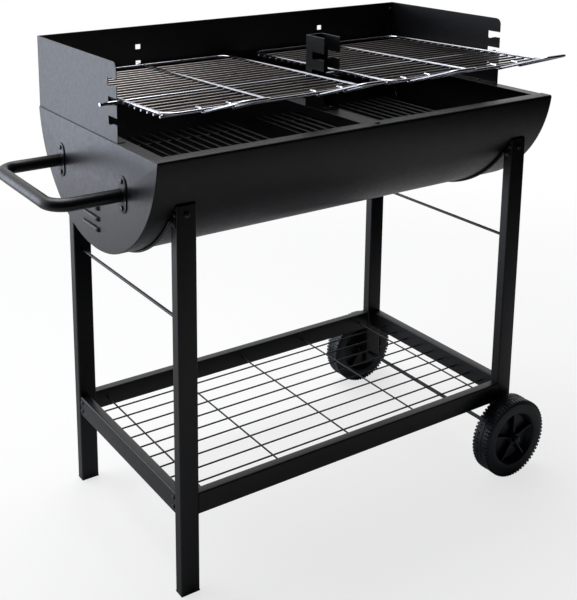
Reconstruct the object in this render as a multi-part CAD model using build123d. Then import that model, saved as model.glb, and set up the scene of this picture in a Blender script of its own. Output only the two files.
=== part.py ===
from build123d import *
import math
import os

# Half-barrel charcoal grill cart.  Millimetres.  +X runs along the barrel from the
# push handle to the wheels, +Y runs from the cook's side to the windshield, +Z is up.
# The model is built about the middle of the barrel, at floor level, and the finished
# set is moved so that the origin is the middle of the underside of its bounding box.

# ---------------------------------------------------------------- driving dimensions
# Barrel
barrel_length = 860.0
barrel_half_depth = 228.0
barrel_drop = 205.0
rim_height = 773.0
barrel_sheet = 1.2
rim_flange = 24.0

# Windshield
shield_height = 132.0
shield_sheet = 1.2
shield_inset = 2.0
shield_front_y = -93.5
shield_corner = 12.0
shield_foot = 14.0

# Notches that carry the cooking grids
notch_count = 3
notch_pitch = 32.0
notch_height = 11.0
pocket_depth = 4.0
peg_rest_y = -66.0
peg_rest_above_rim = 61.0
tongue_hole_width = 11.0
tongue_hole_height = 9.5

# Cooking grids
grid_side_space = 26.0
grid_centre_offset = 6.0
grid_front = -155.0
grid_rear_space = 24.0
grid_corner = 24.0
grid_tilt = 1.55
frame_wire_d = 5.0
grid_wire_d = 4.0
grid_wire_pitch = 20.5
wires_before_peg = 7
wires_behind_peg = 12
wire_overhang = 4.0
peg_d = 6.0
peg_overhang = 15.0
peg_inner_x = 9.0
weld_sink = 0.4
tongue_reach = 32.0
running_gap = 0.3
draw_angle = 16.0

# Loop handles of the cooking grids
loop_wire_d = 5.0
loop_width = 55.0
loop_reach = 112.0
loop_corner = 14.0
loop_rise = 17.5
loop_tail = 16.0
loop_inner_offset = 123.0
loop_outer_offset = 96.5

# Centre channel and grid bracket
channel_width = 36.0
channel_wall = 15.0
channel_sheet = 1.2
channel_gap = 1.0
bracket_width = 36.0
bracket_rear_y = -44.0
bracket_front_y = -97.0
bracket_height = 132.0
bracket_sheet = 1.5

# Charcoal grates
grate_below_rim = 80.0
grate_bar_d = 5.0
grate_pitch = 22.0
grate_bars = 17
grate_centre_offset = 2.0
grate_cross_count = 4
grate_cross_span = 300.0
grate_wall_gap = 0.6

# Legs
leg_end_inset = 43.0
leg_side_inset = 19.0
leg_width = 36.0
leg_depth = 20.5
leg_wall = 1.2
leg_rise = 25.5
right_leg_bottom = 57.0
saddle_gap = 0.2
plug_depth = 14.0
plug_flange = 2.5
plug_gap = 0.1

# Cradle rods and tie rods
cradle_rod_d = 5.0
cradle_gap = 1.0
cradle_tab = 14.0
cradle_bolt_inset = 10.0
cradle_bolt_drop = 2.5
tie_rod_d = 6.0
tie_rod_z = 490.0

# Shelf
shelf_top = 185.0
rail_height = 39.0
rail_width = 18.0
rail_wall = 1.2
rail_inset = 2.0
mesh_z = 162.0
mesh_wire_d = 3.2
mesh_long_wires = 9
mesh_side_space = 41.0
mesh_cross_wires = 5
mesh_end_space = 43.0

# Wheels and axle
wheel_r = 81.0
wheel_width = 38.5
wheel_leg_gap = 5.5
axle_offset = 8.5
axle_d = 8.0
axle_fit = 0.04
wheel_fit = 0.09
wheel_recess_r = 53.0
wheel_recess = 14.0
wheel_hub_r = 12.0
wheel_spokes = 5
spoke_thickness = 5.0
wheel_face_gap = 0.3
axle_cap_r = 8.0
axle_cap_length = 7.0
washer_r = 10.0

# Push handle
push_tube_d = 22.0
push_tube_wall = 1.2
push_reach = 121.0
push_half_width = 121.0
push_bend = 34.0
push_z = 693.0
push_centre_y = 10.0
push_flange_h = 63.0
push_flange_w = 28.0
push_flange_t = 2.0
push_screw_pitch = 46.0

# Louvre vents in the left end plate
vent_count = 3
vent_pitch = 19.0
vent_length = 64.0
vent_top_z = 648.0
vent_centre_y = 11.0
vent_height = 8.0
vent_proud = 5.0

# Fasteners
m6_r = 3.0
m5_r = 2.5
hole_gap = 0.2
nut_gap = 0.05
barrel_bolt_rise = 10.0
leg_screw_rise = 11.0
leg_screw_inset = 7.0

# ---------------------------------------------------------------- worked-out values
arc_r = (barrel_half_depth ** 2 + barrel_drop ** 2) / (2 * barrel_drop)
arc_z = rim_height + arc_r - barrel_drop
half_length = barrel_length / 2
shield_x = half_length - shield_inset
leg_x = half_length - leg_end_inset
leg_y = barrel_half_depth - leg_side_inset
grid_half_width = half_length / 2 - grid_side_space
grid_centre_x = half_length / 2 + grid_centre_offset
grid_rear = barrel_half_depth - grid_rear_space - peg_rest_y
peg_outer_reach = half_length + peg_overhang - grid_centre_x
peg_inner_reach = grid_centre_x - peg_inner_x
loop_inner_x = grid_centre_x - loop_inner_offset
loop_outer_x = grid_centre_x + loop_outer_offset
grate_centre_x = half_length / 2 - grate_centre_offset
saddle_z = arc_z - math.sqrt(arc_r ** 2 - (leg_y - leg_depth) ** 2)
leg_top = saddle_z + leg_rise
barrel_bolt_z = saddle_z + barrel_bolt_rise
cradle_bolt_z = saddle_z - cradle_bolt_drop
leg_screw_z = saddle_z + leg_screw_rise
leg_screw_y = leg_y - leg_screw_inset
cradle_bolt_y = leg_y - cradle_bolt_inset
wheel_inner_y = leg_y + wheel_leg_gap
shield_top = rim_height + shield_height
peg_rest_z = rim_height + peg_rest_above_rim
axle_z = wheel_r
leg_cx = leg_x - leg_width / 2
leg_cy = leg_y - leg_depth / 2
axle_x = leg_cx - axle_offset
wheel_outer_y = wheel_inner_y + wheel_width

parts = {}


def block(x0, x1, y0, y1, z0, z1):
    """Box between two corners."""
    middle = Location(((x0 + x1) / 2, (y0 + y1) / 2, (z0 + z1) / 2))
    return middle * Box(abs(x1 - x0), abs(y1 - y0), abs(z1 - z0))


def rod(start, end, radius):
    """Round bar from one point to another."""
    a = Vector(*start)
    b = Vector(*end)
    plane = Plane(origin=a, z_dir=(b - a))
    align = (Align.CENTER, Align.CENTER, Align.MIN)
    return plane * Cylinder(radius, (b - a).length, align=align)


def swept_rod(points, corner, radius):
    """Round bar along a route with equal bends."""
    route = FilletPolyline(*points, radius=corner)
    section = Plane(origin=route @ 0, z_dir=route % 0) * Circle(radius)
    return sweep(section, path=route)


def hex_nut(at, direction, across, height, bore):
    """Hexagon nut whose seat is at a point, standing along a direction."""
    plane = Plane(origin=at, z_dir=direction)
    body = extrude(plane * RegularPolygon(across / 2, 6, major_radius=False), height)
    return body - extrude(plane * Circle(bore), height)


def screw(at, direction, shank_r, grip, head_r, head_h):
    """Pan-head screw: seat of the head at a point, shank along a direction."""
    a = Vector(*at)
    d = Vector(*direction)
    shank = rod(a, a + d * grip, shank_r)
    head = rod(a, a - d * head_h, head_r)
    head = fillet(head.edges().group_by(SortBy.LENGTH)[-1].sort_by_distance(a)[-1], head_h * 0.6)
    return shank + head


def cut_all(body, tools):
    """Take each tool out of a body."""
    for tool in tools:
        body = body - tool
    return body


def group(solids):
    """Separate solids that share one node."""
    return Compound(children=[s for item in solids for s in item.solids()])


def barrel_profile(radius_less):
    """Half-barrel section in the YZ plane, drawn a little inside the outer surface."""
    radius = arc_r - radius_less
    half = math.sqrt(radius ** 2 - (arc_z - rim_height) ** 2)
    arc = ThreePointArc((-half, rim_height), (0, arc_z - radius), (half, rim_height))
    chord = Line((half, rim_height), (-half, rim_height))
    return Plane.YZ * make_face([arc, chord])


def barrel_solid(radius_less, x_half):
    """Solid half barrel, as long as asked, about the middle."""
    return extrude(barrel_profile(radius_less), x_half, both=True)


# ---------------------------------------------------------------- fastener places
side_bolts = [(sx * leg_cx, sy) for sx in (-1, 1) for sy in (-1, 1)]
cradle_faces = [-leg_x, leg_x - leg_width]
shield_side_bolt_x = shield_x - shield_foot / 2 - shield_sheet / 2
shield_side_bolt_y = [-49.0, 150.0]
shield_back_bolt_x = [-250.0, 250.0]
shield_back_bolt_y = barrel_half_depth - shield_foot / 2 - shield_sheet / 2
corner_bolt_z = [rim_height + 27.0, shield_top - 16.0]
push_ys = [push_centre_y - push_half_width, push_centre_y + push_half_width]
push_screw_zs = [push_z - push_screw_pitch / 2, push_z + push_screw_pitch / 2]
bracket_bolt_x = [-8.0, 8.0]
bracket_bolt_y = bracket_front_y + 11.0
channel_screw_x = 6.0
channel_screw_y = barrel_half_depth - 12.0
rail_screw_z = [shelf_top - 11.0, shelf_top - 28.0]


def across_y(x, z, radius):
    """Cutter along the whole depth."""
    return rod((x, -2 * barrel_half_depth, z), (x, 2 * barrel_half_depth, z), radius)


def down_z(x, y, radius):
    """Cutter through the rim."""
    return rod((x, y, rim_height - 20), (x, y, rim_height + 20), radius)


rim_holes = [down_z(s * shield_side_bolt_x, y, m5_r + hole_gap) for s in (-1, 1) for y in shield_side_bolt_y]
rim_holes += [down_z(x, shield_back_bolt_y, m5_r + hole_gap) for x in shield_back_bolt_x]
channel_holes = [down_z(channel_screw_x, s * channel_screw_y, m5_r + hole_gap) for s in (-1, 1)]
bracket_holes = [down_z(x, bracket_bolt_y, m5_r + hole_gap) for x in bracket_bolt_x]
barrel_holes = [across_y(s * leg_cx, barrel_bolt_z, m6_r + hole_gap) for s in (-1, 1)]
push_holes = [
    rod((-half_length - 20, y, z), (-half_length + 20, y, z), m5_r + hole_gap)
    for y in push_ys for z in push_screw_zs
]

# ---------------------------------------------------------------- barrel
shell_half = half_length - barrel_sheet
shell = barrel_solid(0, shell_half) - barrel_solid(barrel_sheet, shell_half)
for side in (-1, 1):
    edge = side * barrel_half_depth
    lip = block(-shell_half, shell_half, edge, edge - side * rim_flange, rim_height - barrel_sheet, rim_height)
    shell = shell + (lip & barrel_solid(0, shell_half))
parts["barrel_shell"] = cut_all(shell, rim_holes + channel_holes + barrel_holes)


def end_plate(side):
    """D-shaped end of the barrel with its inward rim flange."""
    outer = side * half_length
    plate = extrude(barrel_profile(0), barrel_sheet)
    plate = Location((min(outer, outer - side * barrel_sheet), 0, 0)) * plate
    inner = barrel_half_depth - rim_flange
    lip = block(outer, outer - side * rim_flange, -inner, inner, rim_height - barrel_sheet, rim_height)
    return plate + lip


def vent_hood(z):
    """Pressed hood of one louvre, open along its lower edge."""
    face = -half_length
    outer = Plane.XZ * make_face([
        Line((face, z), (face - vent_proud, z - vent_height)),
        Line((face - vent_proud, z - vent_height), (face, z - vent_height)),
        Line((face, z - vent_height), (face, z)),
    ])
    hood = extrude(outer, vent_length / 2, both=True)
    hollow = extrude(outer, vent_length / 2 - barrel_sheet, both=True)
    hollow = Location((barrel_sheet, 0, -barrel_sheet)) * hollow
    return Location((0, vent_centre_y, 0)) * (hood - hollow)


left_end = end_plate(-1)
for index in range(vent_count):
    vent_z = vent_top_z - index * vent_pitch
    slot = block(
        -half_length - 1, -half_length + 2 * barrel_sheet,
        vent_centre_y - vent_length / 2 + 2 * barrel_sheet, vent_centre_y + vent_length / 2 - 2 * barrel_sheet,
        vent_z - vent_height, vent_z - vent_height / 3,
    )
    left_end = (left_end - slot) + vent_hood(vent_z)
parts["left_end_plate"] = cut_all(left_end, rim_holes + push_holes)
parts["right_end_plate"] = cut_all(end_plate(1), rim_holes)

# ---------------------------------------------------------------- centre channel
channel_rear_y = barrel_half_depth - shield_sheet - channel_gap
channel = block(-channel_width / 2, channel_width / 2, -barrel_half_depth + 1.5, channel_rear_y,
                rim_height, rim_height + channel_sheet)
wall_y = barrel_half_depth - rim_flange - 0.5
for side in (-1, 1):
    outer = side * channel_width / 2
    channel = channel + block(outer, outer - side * channel_sheet, -wall_y, wall_y,
                              rim_height - channel_wall, rim_height)
parts["centre_channel"] = cut_all(channel, bracket_holes + channel_holes)

# ---------------------------------------------------------------- notches
sin_draw = math.sin(math.radians(draw_angle))
cos_draw = math.cos(math.radians(draw_angle))
pocket_r = peg_d / 2 + running_gap
slot_floor = -pocket_r + pocket_depth
slot_run = peg_rest_y - min(shield_front_y, bracket_front_y) + 10.0


def notch(x, z):
    """Cutter for one grid notch: a pocket, a ramp out of it, and a slot to the front."""
    reach = slot_run / cos_draw
    path = Plane.YZ * Pos(-reach * cos_draw / 2, reach * sin_draw / 2) * Rot(0, 0, -draw_angle) * Rectangle(
        reach, 2 * pocket_r)
    mouth = Plane.YZ * Pos((pocket_r - slot_run) / 2, slot_floor + notch_height / 2) * Rectangle(
        slot_run + pocket_r, notch_height)
    keep = Plane.YZ * Pos(-slot_run / 2, slot_floor + notch_height - 20) * Rectangle(2 * slot_run, 40)
    shape = (path + mouth + Plane.YZ * Circle(pocket_r)) & keep
    return Location((x, peg_rest_y, z)) * extrude(shape, 6, both=True)


notch_zs = [peg_rest_z + (1 - i) * notch_pitch for i in range(notch_count)]
wind_notches = [notch(s * shield_x, z) for s in (-1, 1) for z in notch_zs]
bracket_notches = [notch(s * bracket_width / 2, z) for s in (-1, 1) for z in notch_zs]

# ---------------------------------------------------------------- windshield
foot_top = rim_height + shield_sheet
back_y = barrel_half_depth
corner_holes = [across_y(s * shield_side_bolt_x, z, m5_r + hole_gap) for s in (-1, 1) for z in corner_bolt_z]


def tongue_z(y):
    """Height of a grid tongue, on its tilted grid, at a depth."""
    lift = (peg_d + frame_wire_d) / 2 - weld_sink
    return peg_rest_z + lift - (y - peg_rest_y) * math.tan(math.radians(grid_tilt))


back_plate = block(-shield_x, shield_x, back_y - shield_sheet, back_y, rim_height, shield_top)
foot_ends = (channel_width / 2 + channel_gap, shield_x - shield_sheet)
for side in (-1, 1):
    back_plate = back_plate + block(side * foot_ends[0], side * foot_ends[1], back_y - shield_foot, back_y,
                                    rim_height, foot_top)
tongue_bottom = tongue_z(back_y) - frame_wire_d / 2 - 2 * running_gap
for side in (-1, 1):
    for index in range(notch_count):
        low = tongue_bottom + (1 - index) * notch_pitch
        cx = side * grid_centre_x
        back_plate = back_plate - block(cx - tongue_hole_width / 2, cx + tongue_hole_width / 2,
                                        back_y - 5, back_y + 5, low, low + tongue_hole_height)
parts["windshield_back"] = cut_all(back_plate, corner_holes + rim_holes)


def windshield_side(side):
    """Side plate with its foot, its rear flange and its three grid notches."""
    outer = side * shield_x
    rear = back_y - shield_sheet
    plate = block(outer, outer - side * shield_sheet, shield_front_y, rear, rim_height, shield_top)
    front_edges = plate.edges().filter_by(Axis.X).sort_by(Axis.Y)[:2]
    plate = fillet(front_edges.sort_by(Axis.Z)[-1], shield_corner)
    foot = block(outer, outer - side * shield_foot, shield_front_y, back_y - shield_foot - 1.0,
                 rim_height, foot_top)
    flange = block(outer, outer - side * shield_foot, rear - shield_sheet, rear, foot_top + 2.0,
                   shield_top - 2.0)
    return cut_all(plate + foot + flange, wind_notches + rim_holes + corner_holes)


parts["windshield_left"] = windshield_side(-1)
parts["windshield_right"] = windshield_side(1)

# ---------------------------------------------------------------- grid bracket
bracket_base = rim_height + channel_sheet
bracket_top = bracket_base + bracket_height
half_bracket = bracket_width / 2
bracket = block(-half_bracket, half_bracket, bracket_rear_y - bracket_sheet, bracket_rear_y,
                bracket_base, bracket_top)
for side in (-1, 1):
    bracket = bracket + block(side * half_bracket, side * (half_bracket - bracket_sheet),
                              bracket_front_y, bracket_rear_y, bracket_base, bracket_top)
bracket = bracket + block(-half_bracket, half_bracket, bracket_front_y, bracket_rear_y,
                          bracket_base, bracket_base + bracket_sheet)
parts["grid_bracket"] = cut_all(bracket, bracket_notches + bracket_holes)

# ---------------------------------------------------------------- charcoal grates
grate_z = rim_height - grate_below_rim
grate_low = grate_z - grate_bar_d / 2
grate_half = math.sqrt((arc_r - barrel_sheet) ** 2 - (arc_z - grate_low) ** 2) - grate_wall_gap


def charcoal_grate(side):
    """Welded grate: bars across the barrel over a few long cross bars."""
    centre = side * grate_centre_x
    first = centre - (grate_bars - 1) / 2 * grate_pitch
    cross_half = (grate_bars - 1) / 2 * grate_pitch + grate_bar_d
    cross_z = grate_z - grate_bar_d + weld_sink
    grate = None
    for index in range(grate_bars):
        x = first + index * grate_pitch
        bar = rod((x, -grate_half, grate_z), (x, grate_half, grate_z), grate_bar_d / 2)
        grate = bar if grate is None else grate + bar
    for index in range(grate_cross_count):
        y = -grate_cross_span / 2 + index * grate_cross_span / (grate_cross_count - 1)
        grate = grate + rod((centre - cross_half, y, cross_z), (centre + cross_half, y, cross_z),
                            grate_bar_d / 2)
    return grate


parts["left_charcoal_grate"] = charcoal_grate(-1)
parts["right_charcoal_grate"] = charcoal_grate(1)

# ---------------------------------------------------------------- cooking grids
frame_z = (peg_d + frame_wire_d) / 2 - weld_sink
wire_z = frame_z - (frame_wire_d + grid_wire_d) / 2 + weld_sink


def grid_place(side):
    """Where a grid rests: its peg rod in the middle notches, front edge up a little."""
    return Location((side * grid_centre_x, peg_rest_y, peg_rest_z)) * Rot(-grid_tilt, 0, 0)


def grid_frame():
    """Bent wire frame with a centre bar that ends in the rear tongue."""
    outline = Pos(0, (grid_front + grid_rear) / 2) * RectangleRounded(
        2 * grid_half_width, grid_rear - grid_front, grid_corner)
    path = Location((0, 0, frame_z)) * outline.face().outer_wire()
    start = path @ 0
    section = Plane(origin=start, z_dir=path % 0) * Circle(frame_wire_d / 2)
    ring = sweep(section, path=path)
    bar = rod((0, grid_front, frame_z), (0, grid_rear + tongue_reach, frame_z), frame_wire_d / 2)
    return ring + bar


def grid_wires(side):
    """Cross wires, and the thicker peg rod whose ends sit in the notches."""
    half = grid_half_width + wire_overhang
    wires = []
    for index in range(-wires_before_peg, wires_behind_peg + 1):
        y = index * grid_wire_pitch
        if index != 0:
            wires.append(rod((-half, y, wire_z), (half, y, wire_z), grid_wire_d / 2))
    outer = side * peg_outer_reach
    inner = -side * peg_inner_reach
    wires.append(rod((outer, 0, 0), (inner, 0, 0), peg_d / 2))
    return wires


def loop_handle(x):
    """Bent wire loop welded under the front bar, rising to the cook."""
    half = loop_width / 2
    reach = loop_reach
    points = [(-half, loop_tail, 0), (-half, -reach, 0), (half, -reach, 0), (half, loop_tail, 0)]
    loop = swept_rod(points, loop_corner, loop_wire_d / 2)
    drop = (frame_wire_d + loop_wire_d) / 2 - weld_sink
    seat = frame_z - drop / math.cos(math.radians(loop_rise))
    return Location((x, grid_front, seat)) * Rot(-loop_rise, 0, 0) * loop


for side, name in ((-1, "left"), (1, "right")):
    place = grid_place(side)
    loops = [loop_handle(side * (reach - grid_centre_x)) for reach in (loop_inner_x, loop_outer_x)]
    parts[name + "_grid_frame"] = place * grid_frame()
    parts[name + "_grid_wires"] = group([place * wire for wire in grid_wires(side)])
    parts[name + "_grid_loops"] = group([place * loop for loop in loops])

# ---------------------------------------------------------------- legs
saddle = barrel_solid(-saddle_gap, half_length)
axle_hole = across_y(axle_x, axle_z, axle_d / 2 + axle_fit)


def leg(sx, sy, bottom):
    """Rectangular tube whose top is cut to nest against the barrel."""
    cx = sx * leg_cx
    cy = sy * leg_cy
    tube = block(cx - leg_width / 2, cx + leg_width / 2, cy - leg_depth / 2, cy + leg_depth / 2,
                 bottom, leg_top)
    inside = block(cx - leg_width / 2 + leg_wall, cx + leg_width / 2 - leg_wall,
                   cy - leg_depth / 2 + leg_wall, cy + leg_depth / 2 - leg_wall, bottom, leg_top)
    tube = (tube - inside) - saddle
    return cut_all(tube, barrel_holes + cradle_holes + leg_screw_holes)


cradle_holes = [
    rod((x - 5, sy * cradle_bolt_y, cradle_bolt_z), (x + 5, sy * cradle_bolt_y, cradle_bolt_z),
        m5_r + hole_gap)
    for x in cradle_faces for sy in (-1, 1)
]
leg_screw_holes = [
    rod((x - 5, sy * leg_screw_y, leg_screw_z), (x + 5, sy * leg_screw_y, leg_screw_z), m5_r + hole_gap)
    for x in cradle_faces for sy in (-1, 1)
]
parts["front_left_leg"] = leg(-1, -1, plug_flange)
parts["rear_left_leg"] = leg(-1, 1, plug_flange)
parts["front_right_leg"] = leg(1, -1, right_leg_bottom + plug_flange) - axle_hole
parts["rear_right_leg"] = leg(1, 1, right_leg_bottom + plug_flange) - axle_hole


def leg_plug(sx, sy, bottom):
    """Moulded plug in the open end of a leg."""
    cx = sx * leg_cx
    cy = sy * leg_cy
    inset = leg_wall + plug_gap
    foot = block(cx - leg_width / 2, cx + leg_width / 2, cy - leg_depth / 2, cy + leg_depth / 2,
                 bottom, bottom + plug_flange)
    stem = block(cx - leg_width / 2 + inset, cx + leg_width / 2 - inset,
                 cy - leg_depth / 2 + inset, cy + leg_depth / 2 - inset,
                 bottom + plug_flange, bottom + plug_depth)
    return foot + stem


parts["foot_plugs"] = group([leg_plug(-1, sy, 0) for sy in (-1, 1)])
parts["wheel_leg_plugs"] = group([leg_plug(1, sy, right_leg_bottom) for sy in (-1, 1)])

# ---------------------------------------------------------------- cradle and tie rods
cradle_r = arc_r + cradle_gap + cradle_rod_d / 2
tie_y = leg_y - leg_depth


def cradle_rod(face_x):
    """Rod bent round the underside of the barrel, flattened where it is bolted on."""
    x = face_x - cradle_rod_d / 2
    start_angle = math.acos((cradle_bolt_y - cradle_tab / 2) / cradle_r)
    y0 = cradle_r * math.cos(start_angle)
    z0 = arc_z - cradle_r * math.sin(start_angle)
    arc = ThreePointArc((x, -y0, z0), (x, 0, arc_z - cradle_r), (x, y0, z0))
    bar = sweep(Plane(origin=arc @ 0, z_dir=arc % 0) * Circle(cradle_rod_d / 2), path=arc)
    tabs = []
    for sy in (-1, 1):
        tab = block(face_x - cradle_rod_d / 2, face_x, sy * (cradle_bolt_y - cradle_tab / 2),
                    sy * (cradle_bolt_y + cradle_tab / 2),
                    cradle_bolt_z - cradle_tab / 2, cradle_bolt_z + cradle_tab / 2)
        tabs.append(tab)
    return cut_all(bar + tabs[0] + tabs[1], cradle_holes)


parts["left_cradle_rod"] = cradle_rod(cradle_faces[0])
parts["right_cradle_rod"] = cradle_rod(cradle_faces[1])
for side, name in ((-1, "left"), (1, "right")):
    x = side * leg_cx
    parts[name + "_tie_rod"] = rod((x, -tie_y, tie_rod_z), (x, tie_y, tie_rod_z), tie_rod_d / 2)

# ---------------------------------------------------------------- shelf
shelf_low = shelf_top - rail_height
rail_y_end = leg_y - leg_depth
rail_x_end = leg_x - leg_width
rail_x = leg_x - rail_inset


def rail(x0, x1, y0, y1, along):
    """Rectangular tube rail between two faces, open at both ends."""
    tube = block(x0, x1, y0, y1, shelf_low, shelf_top)
    dx = 0 if along == "x" else rail_wall
    dy = 0 if along == "y" else rail_wall
    inside = block(min(x0, x1) + dx, max(x0, x1) - dx, min(y0, y1) + dy, max(y0, y1) - dy,
                   shelf_low + rail_wall, shelf_top - rail_wall)
    return tube - inside


rail_screw_holes = [
    rod((s * (rail_x + 5), sy * (rail_y_end - 7), z), (s * (rail_x - 5), sy * (rail_y_end - 7), z),
        m5_r + hole_gap)
    for s in (-1, 1) for sy in (-1, 1) for z in rail_screw_z
]
parts["front_shelf_rail"] = rail(-rail_x_end, rail_x_end, -leg_y, -leg_y + rail_width, "x")
parts["rear_shelf_rail"] = rail(-rail_x_end, rail_x_end, leg_y - rail_width, leg_y, "x")
parts["left_shelf_rail"] = cut_all(rail(-rail_x, -rail_x + rail_width, -rail_y_end, rail_y_end, "y"),
                                   rail_screw_holes)
parts["right_shelf_rail"] = cut_all(rail(rail_x - rail_width, rail_x, -rail_y_end, rail_y_end, "y"),
                                    rail_screw_holes)

mesh_x_end = rail_x - rail_width
mesh_y_end = leg_y - rail_width
mesh_long_pitch = 2 * (mesh_y_end - mesh_side_space) / (mesh_long_wires - 1)
mesh_cross_pitch = 2 * (mesh_x_end - mesh_end_space) / (mesh_cross_wires - 1)
shelf_mesh = None
for index in range(mesh_long_wires):
    y = (index - (mesh_long_wires - 1) / 2) * mesh_long_pitch
    wire = rod((-mesh_x_end, y, mesh_z), (mesh_x_end, y, mesh_z), mesh_wire_d / 2)
    shelf_mesh = wire if shelf_mesh is None else shelf_mesh + wire
for index in range(mesh_cross_wires):
    x = (index - (mesh_cross_wires - 1) / 2) * mesh_cross_pitch
    z = mesh_z + mesh_wire_d - weld_sink
    shelf_mesh = shelf_mesh + rod((x, -mesh_y_end, z), (x, mesh_y_end, z), mesh_wire_d / 2)
parts["shelf_mesh"] = shelf_mesh

# ---------------------------------------------------------------- axle and wheels
axle_end = wheel_outer_y + 2.0
parts["axle"] = rod((axle_x, -axle_end, axle_z), (axle_x, axle_end, axle_z), axle_d / 2)


def wheel(sy):
    """One-piece wheel: tread ring, recessed web with ribs, and a full-width hub."""
    align = (Align.CENTER, Align.CENTER, Align.CENTER)
    body = Cylinder(wheel_r, wheel_width, align=align)
    body = fillet(body.edges().filter_by(GeomType.CIRCLE), 5.0)
    for face in (-1, 1):
        pocket = Pos(0, 0, face * (wheel_width / 2 - wheel_recess / 2)) * Cylinder(wheel_recess_r, wheel_recess)
        pocket = pocket - Cylinder(wheel_hub_r, wheel_width)
        for index in range(wheel_spokes):
            rib = Rot(0, 0, 90 + index * 360 / wheel_spokes) * Pos(wheel_recess_r / 2, 0, 0) * Box(
                wheel_recess_r, spoke_thickness, wheel_width - 6)
            pocket = pocket - rib
        body = body - pocket
    body = body - Cylinder(axle_d / 2 + wheel_fit, 2 * wheel_width)
    mid_y = sy * (wheel_inner_y + wheel_width / 2)
    return Location((axle_x, mid_y, axle_z)) * Rot(90, 0, 0) * body


parts["front_wheel"] = wheel(-1)
parts["rear_wheel"] = wheel(1)


def axle_cap(sy):
    """Push-on cap over the end of the axle."""
    start = sy * (wheel_outer_y + wheel_face_gap)
    end = start + sy * axle_cap_length
    cap = rod((axle_x, start, axle_z), (axle_x, end, axle_z), axle_cap_r)
    return cap - rod((axle_x, start - sy, axle_z), (axle_x, sy * axle_end, axle_z), axle_d / 2 + axle_fit)


def axle_washer(sy):
    """Spacer between a leg and its wheel."""
    start = sy * leg_y
    end = sy * (wheel_inner_y - wheel_face_gap)
    ring = rod((axle_x, start, axle_z), (axle_x, end, axle_z), washer_r)
    return ring - axle_hole


parts["axle_caps"] = group([axle_cap(sy) for sy in (-1, 1)])
parts["axle_spacers"] = group([axle_washer(sy) for sy in (-1, 1)])

# ---------------------------------------------------------------- push handle
flange_x = -half_length - push_flange_t
bar_x = -half_length - push_reach
handle_route = [(flange_x, push_ys[0], push_z), (bar_x, push_ys[0], push_z),
                (bar_x, push_ys[1], push_z), (flange_x, push_ys[1], push_z)]
handle_outer = swept_rod(handle_route, push_bend, push_tube_d / 2)
handle_inner = swept_rod(handle_route, push_bend, push_tube_d / 2 - push_tube_wall)
parts["push_handle_tube"] = handle_outer - handle_inner
for y, name in zip(push_ys, ("front_handle_flange", "rear_handle_flange")):
    plane = Plane(origin=(-half_length, y, push_z), x_dir=(0, 0, 1), z_dir=(-1, 0, 0))
    plate = extrude(plane * SlotOverall(push_flange_h, push_flange_w), push_flange_t)
    parts[name] = cut_all(plate, push_holes)

# ---------------------------------------------------------------- fasteners
barrel_nut_seat = math.sqrt((arc_r - barrel_sheet) ** 2 - (arc_z - barrel_bolt_z + 6.0) ** 2) - 0.2
parts["barrel_bolts"] = group([
    screw((x, sy * leg_y, barrel_bolt_z), (0, -sy, 0), m6_r, 26.0, 5.2, 3.2) for x, sy in side_bolts
])
parts["barrel_nuts"] = group([
    hex_nut((x, sy * barrel_nut_seat, barrel_bolt_z), (0, -sy, 0), 10.0, 5.0, m6_r + nut_gap)
    for x, sy in side_bolts
])
parts["cradle_bolts"] = group([
    screw((x - cradle_rod_d / 2, sy * cradle_bolt_y, cradle_bolt_z), (1, 0, 0), m5_r, 8.0, 4.5, 2.8)
    for x in cradle_faces for sy in (-1, 1)
])
parts["leg_screws"] = group([
    screw((x, sy * leg_screw_y, leg_screw_z), (1, 0, 0), m5_r, 6.0, 4.2, 2.4)
    for x in cradle_faces for sy in (-1, 1)
])
parts["handle_screws"] = group([
    screw((flange_x, y, z), (1, 0, 0), m5_r, 9.0, 4.5, 2.8) for y in push_ys for z in push_screw_zs
])
parts["handle_nuts"] = group([
    hex_nut((-half_length + barrel_sheet, y, z), (1, 0, 0), 8.0, 4.0, m5_r + nut_gap)
    for y in push_ys for z in push_screw_zs
])
rim_bolt_places = [(s * shield_side_bolt_x, y) for s in (-1, 1) for y in shield_side_bolt_y]
rim_bolt_places += [(x, shield_back_bolt_y) for x in shield_back_bolt_x]
rim_under = rim_height - barrel_sheet
shield_screws = [screw((x, y, foot_top), (0, 0, -1), m5_r, 9.0, 4.5, 2.8) for x, y in rim_bolt_places]
shield_nuts = [hex_nut((x, y, rim_under), (0, 0, -1), 8.0, 4.0, m5_r + nut_gap) for x, y in rim_bolt_places]
corner_seat = back_y - 2 * shield_sheet
for s in (-1, 1):
    for z in corner_bolt_z:
        x = s * shield_side_bolt_x
        shield_screws.append(screw((x, corner_seat, z), (0, 1, 0), m5_r, 8.0, 4.5, 2.8))
        shield_nuts.append(hex_nut((x, back_y, z), (0, 1, 0), 8.0, 4.0, m5_r + nut_gap))
parts["windshield_bolts"] = group(shield_screws)
parts["windshield_nuts"] = group(shield_nuts)
bracket_seat = bracket_base + bracket_sheet
parts["bracket_bolts"] = group([
    screw((x, bracket_bolt_y, bracket_seat), (0, 0, -1), m5_r, 9.0, 4.5, 2.8) for x in bracket_bolt_x
])
parts["bracket_nuts"] = group([
    hex_nut((x, bracket_bolt_y, rim_height), (0, 0, -1), 8.0, 4.0, m5_r + nut_gap) for x in bracket_bolt_x
])
parts["channel_screws"] = group([
    screw((channel_screw_x, y, bracket_base), (0, 0, -1), m5_r, 8.0, 4.5, 2.8) for y in (-channel_screw_y, channel_screw_y)
])
parts["rail_screws"] = group([
    screw((s * rail_x, sy * (rail_y_end - 7), z), (-s, 0, 0), m5_r, 6.0, 3.8, 2.2)
    for s in (-1, 1) for sy in (-1, 1) for z in rail_screw_z
])

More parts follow.
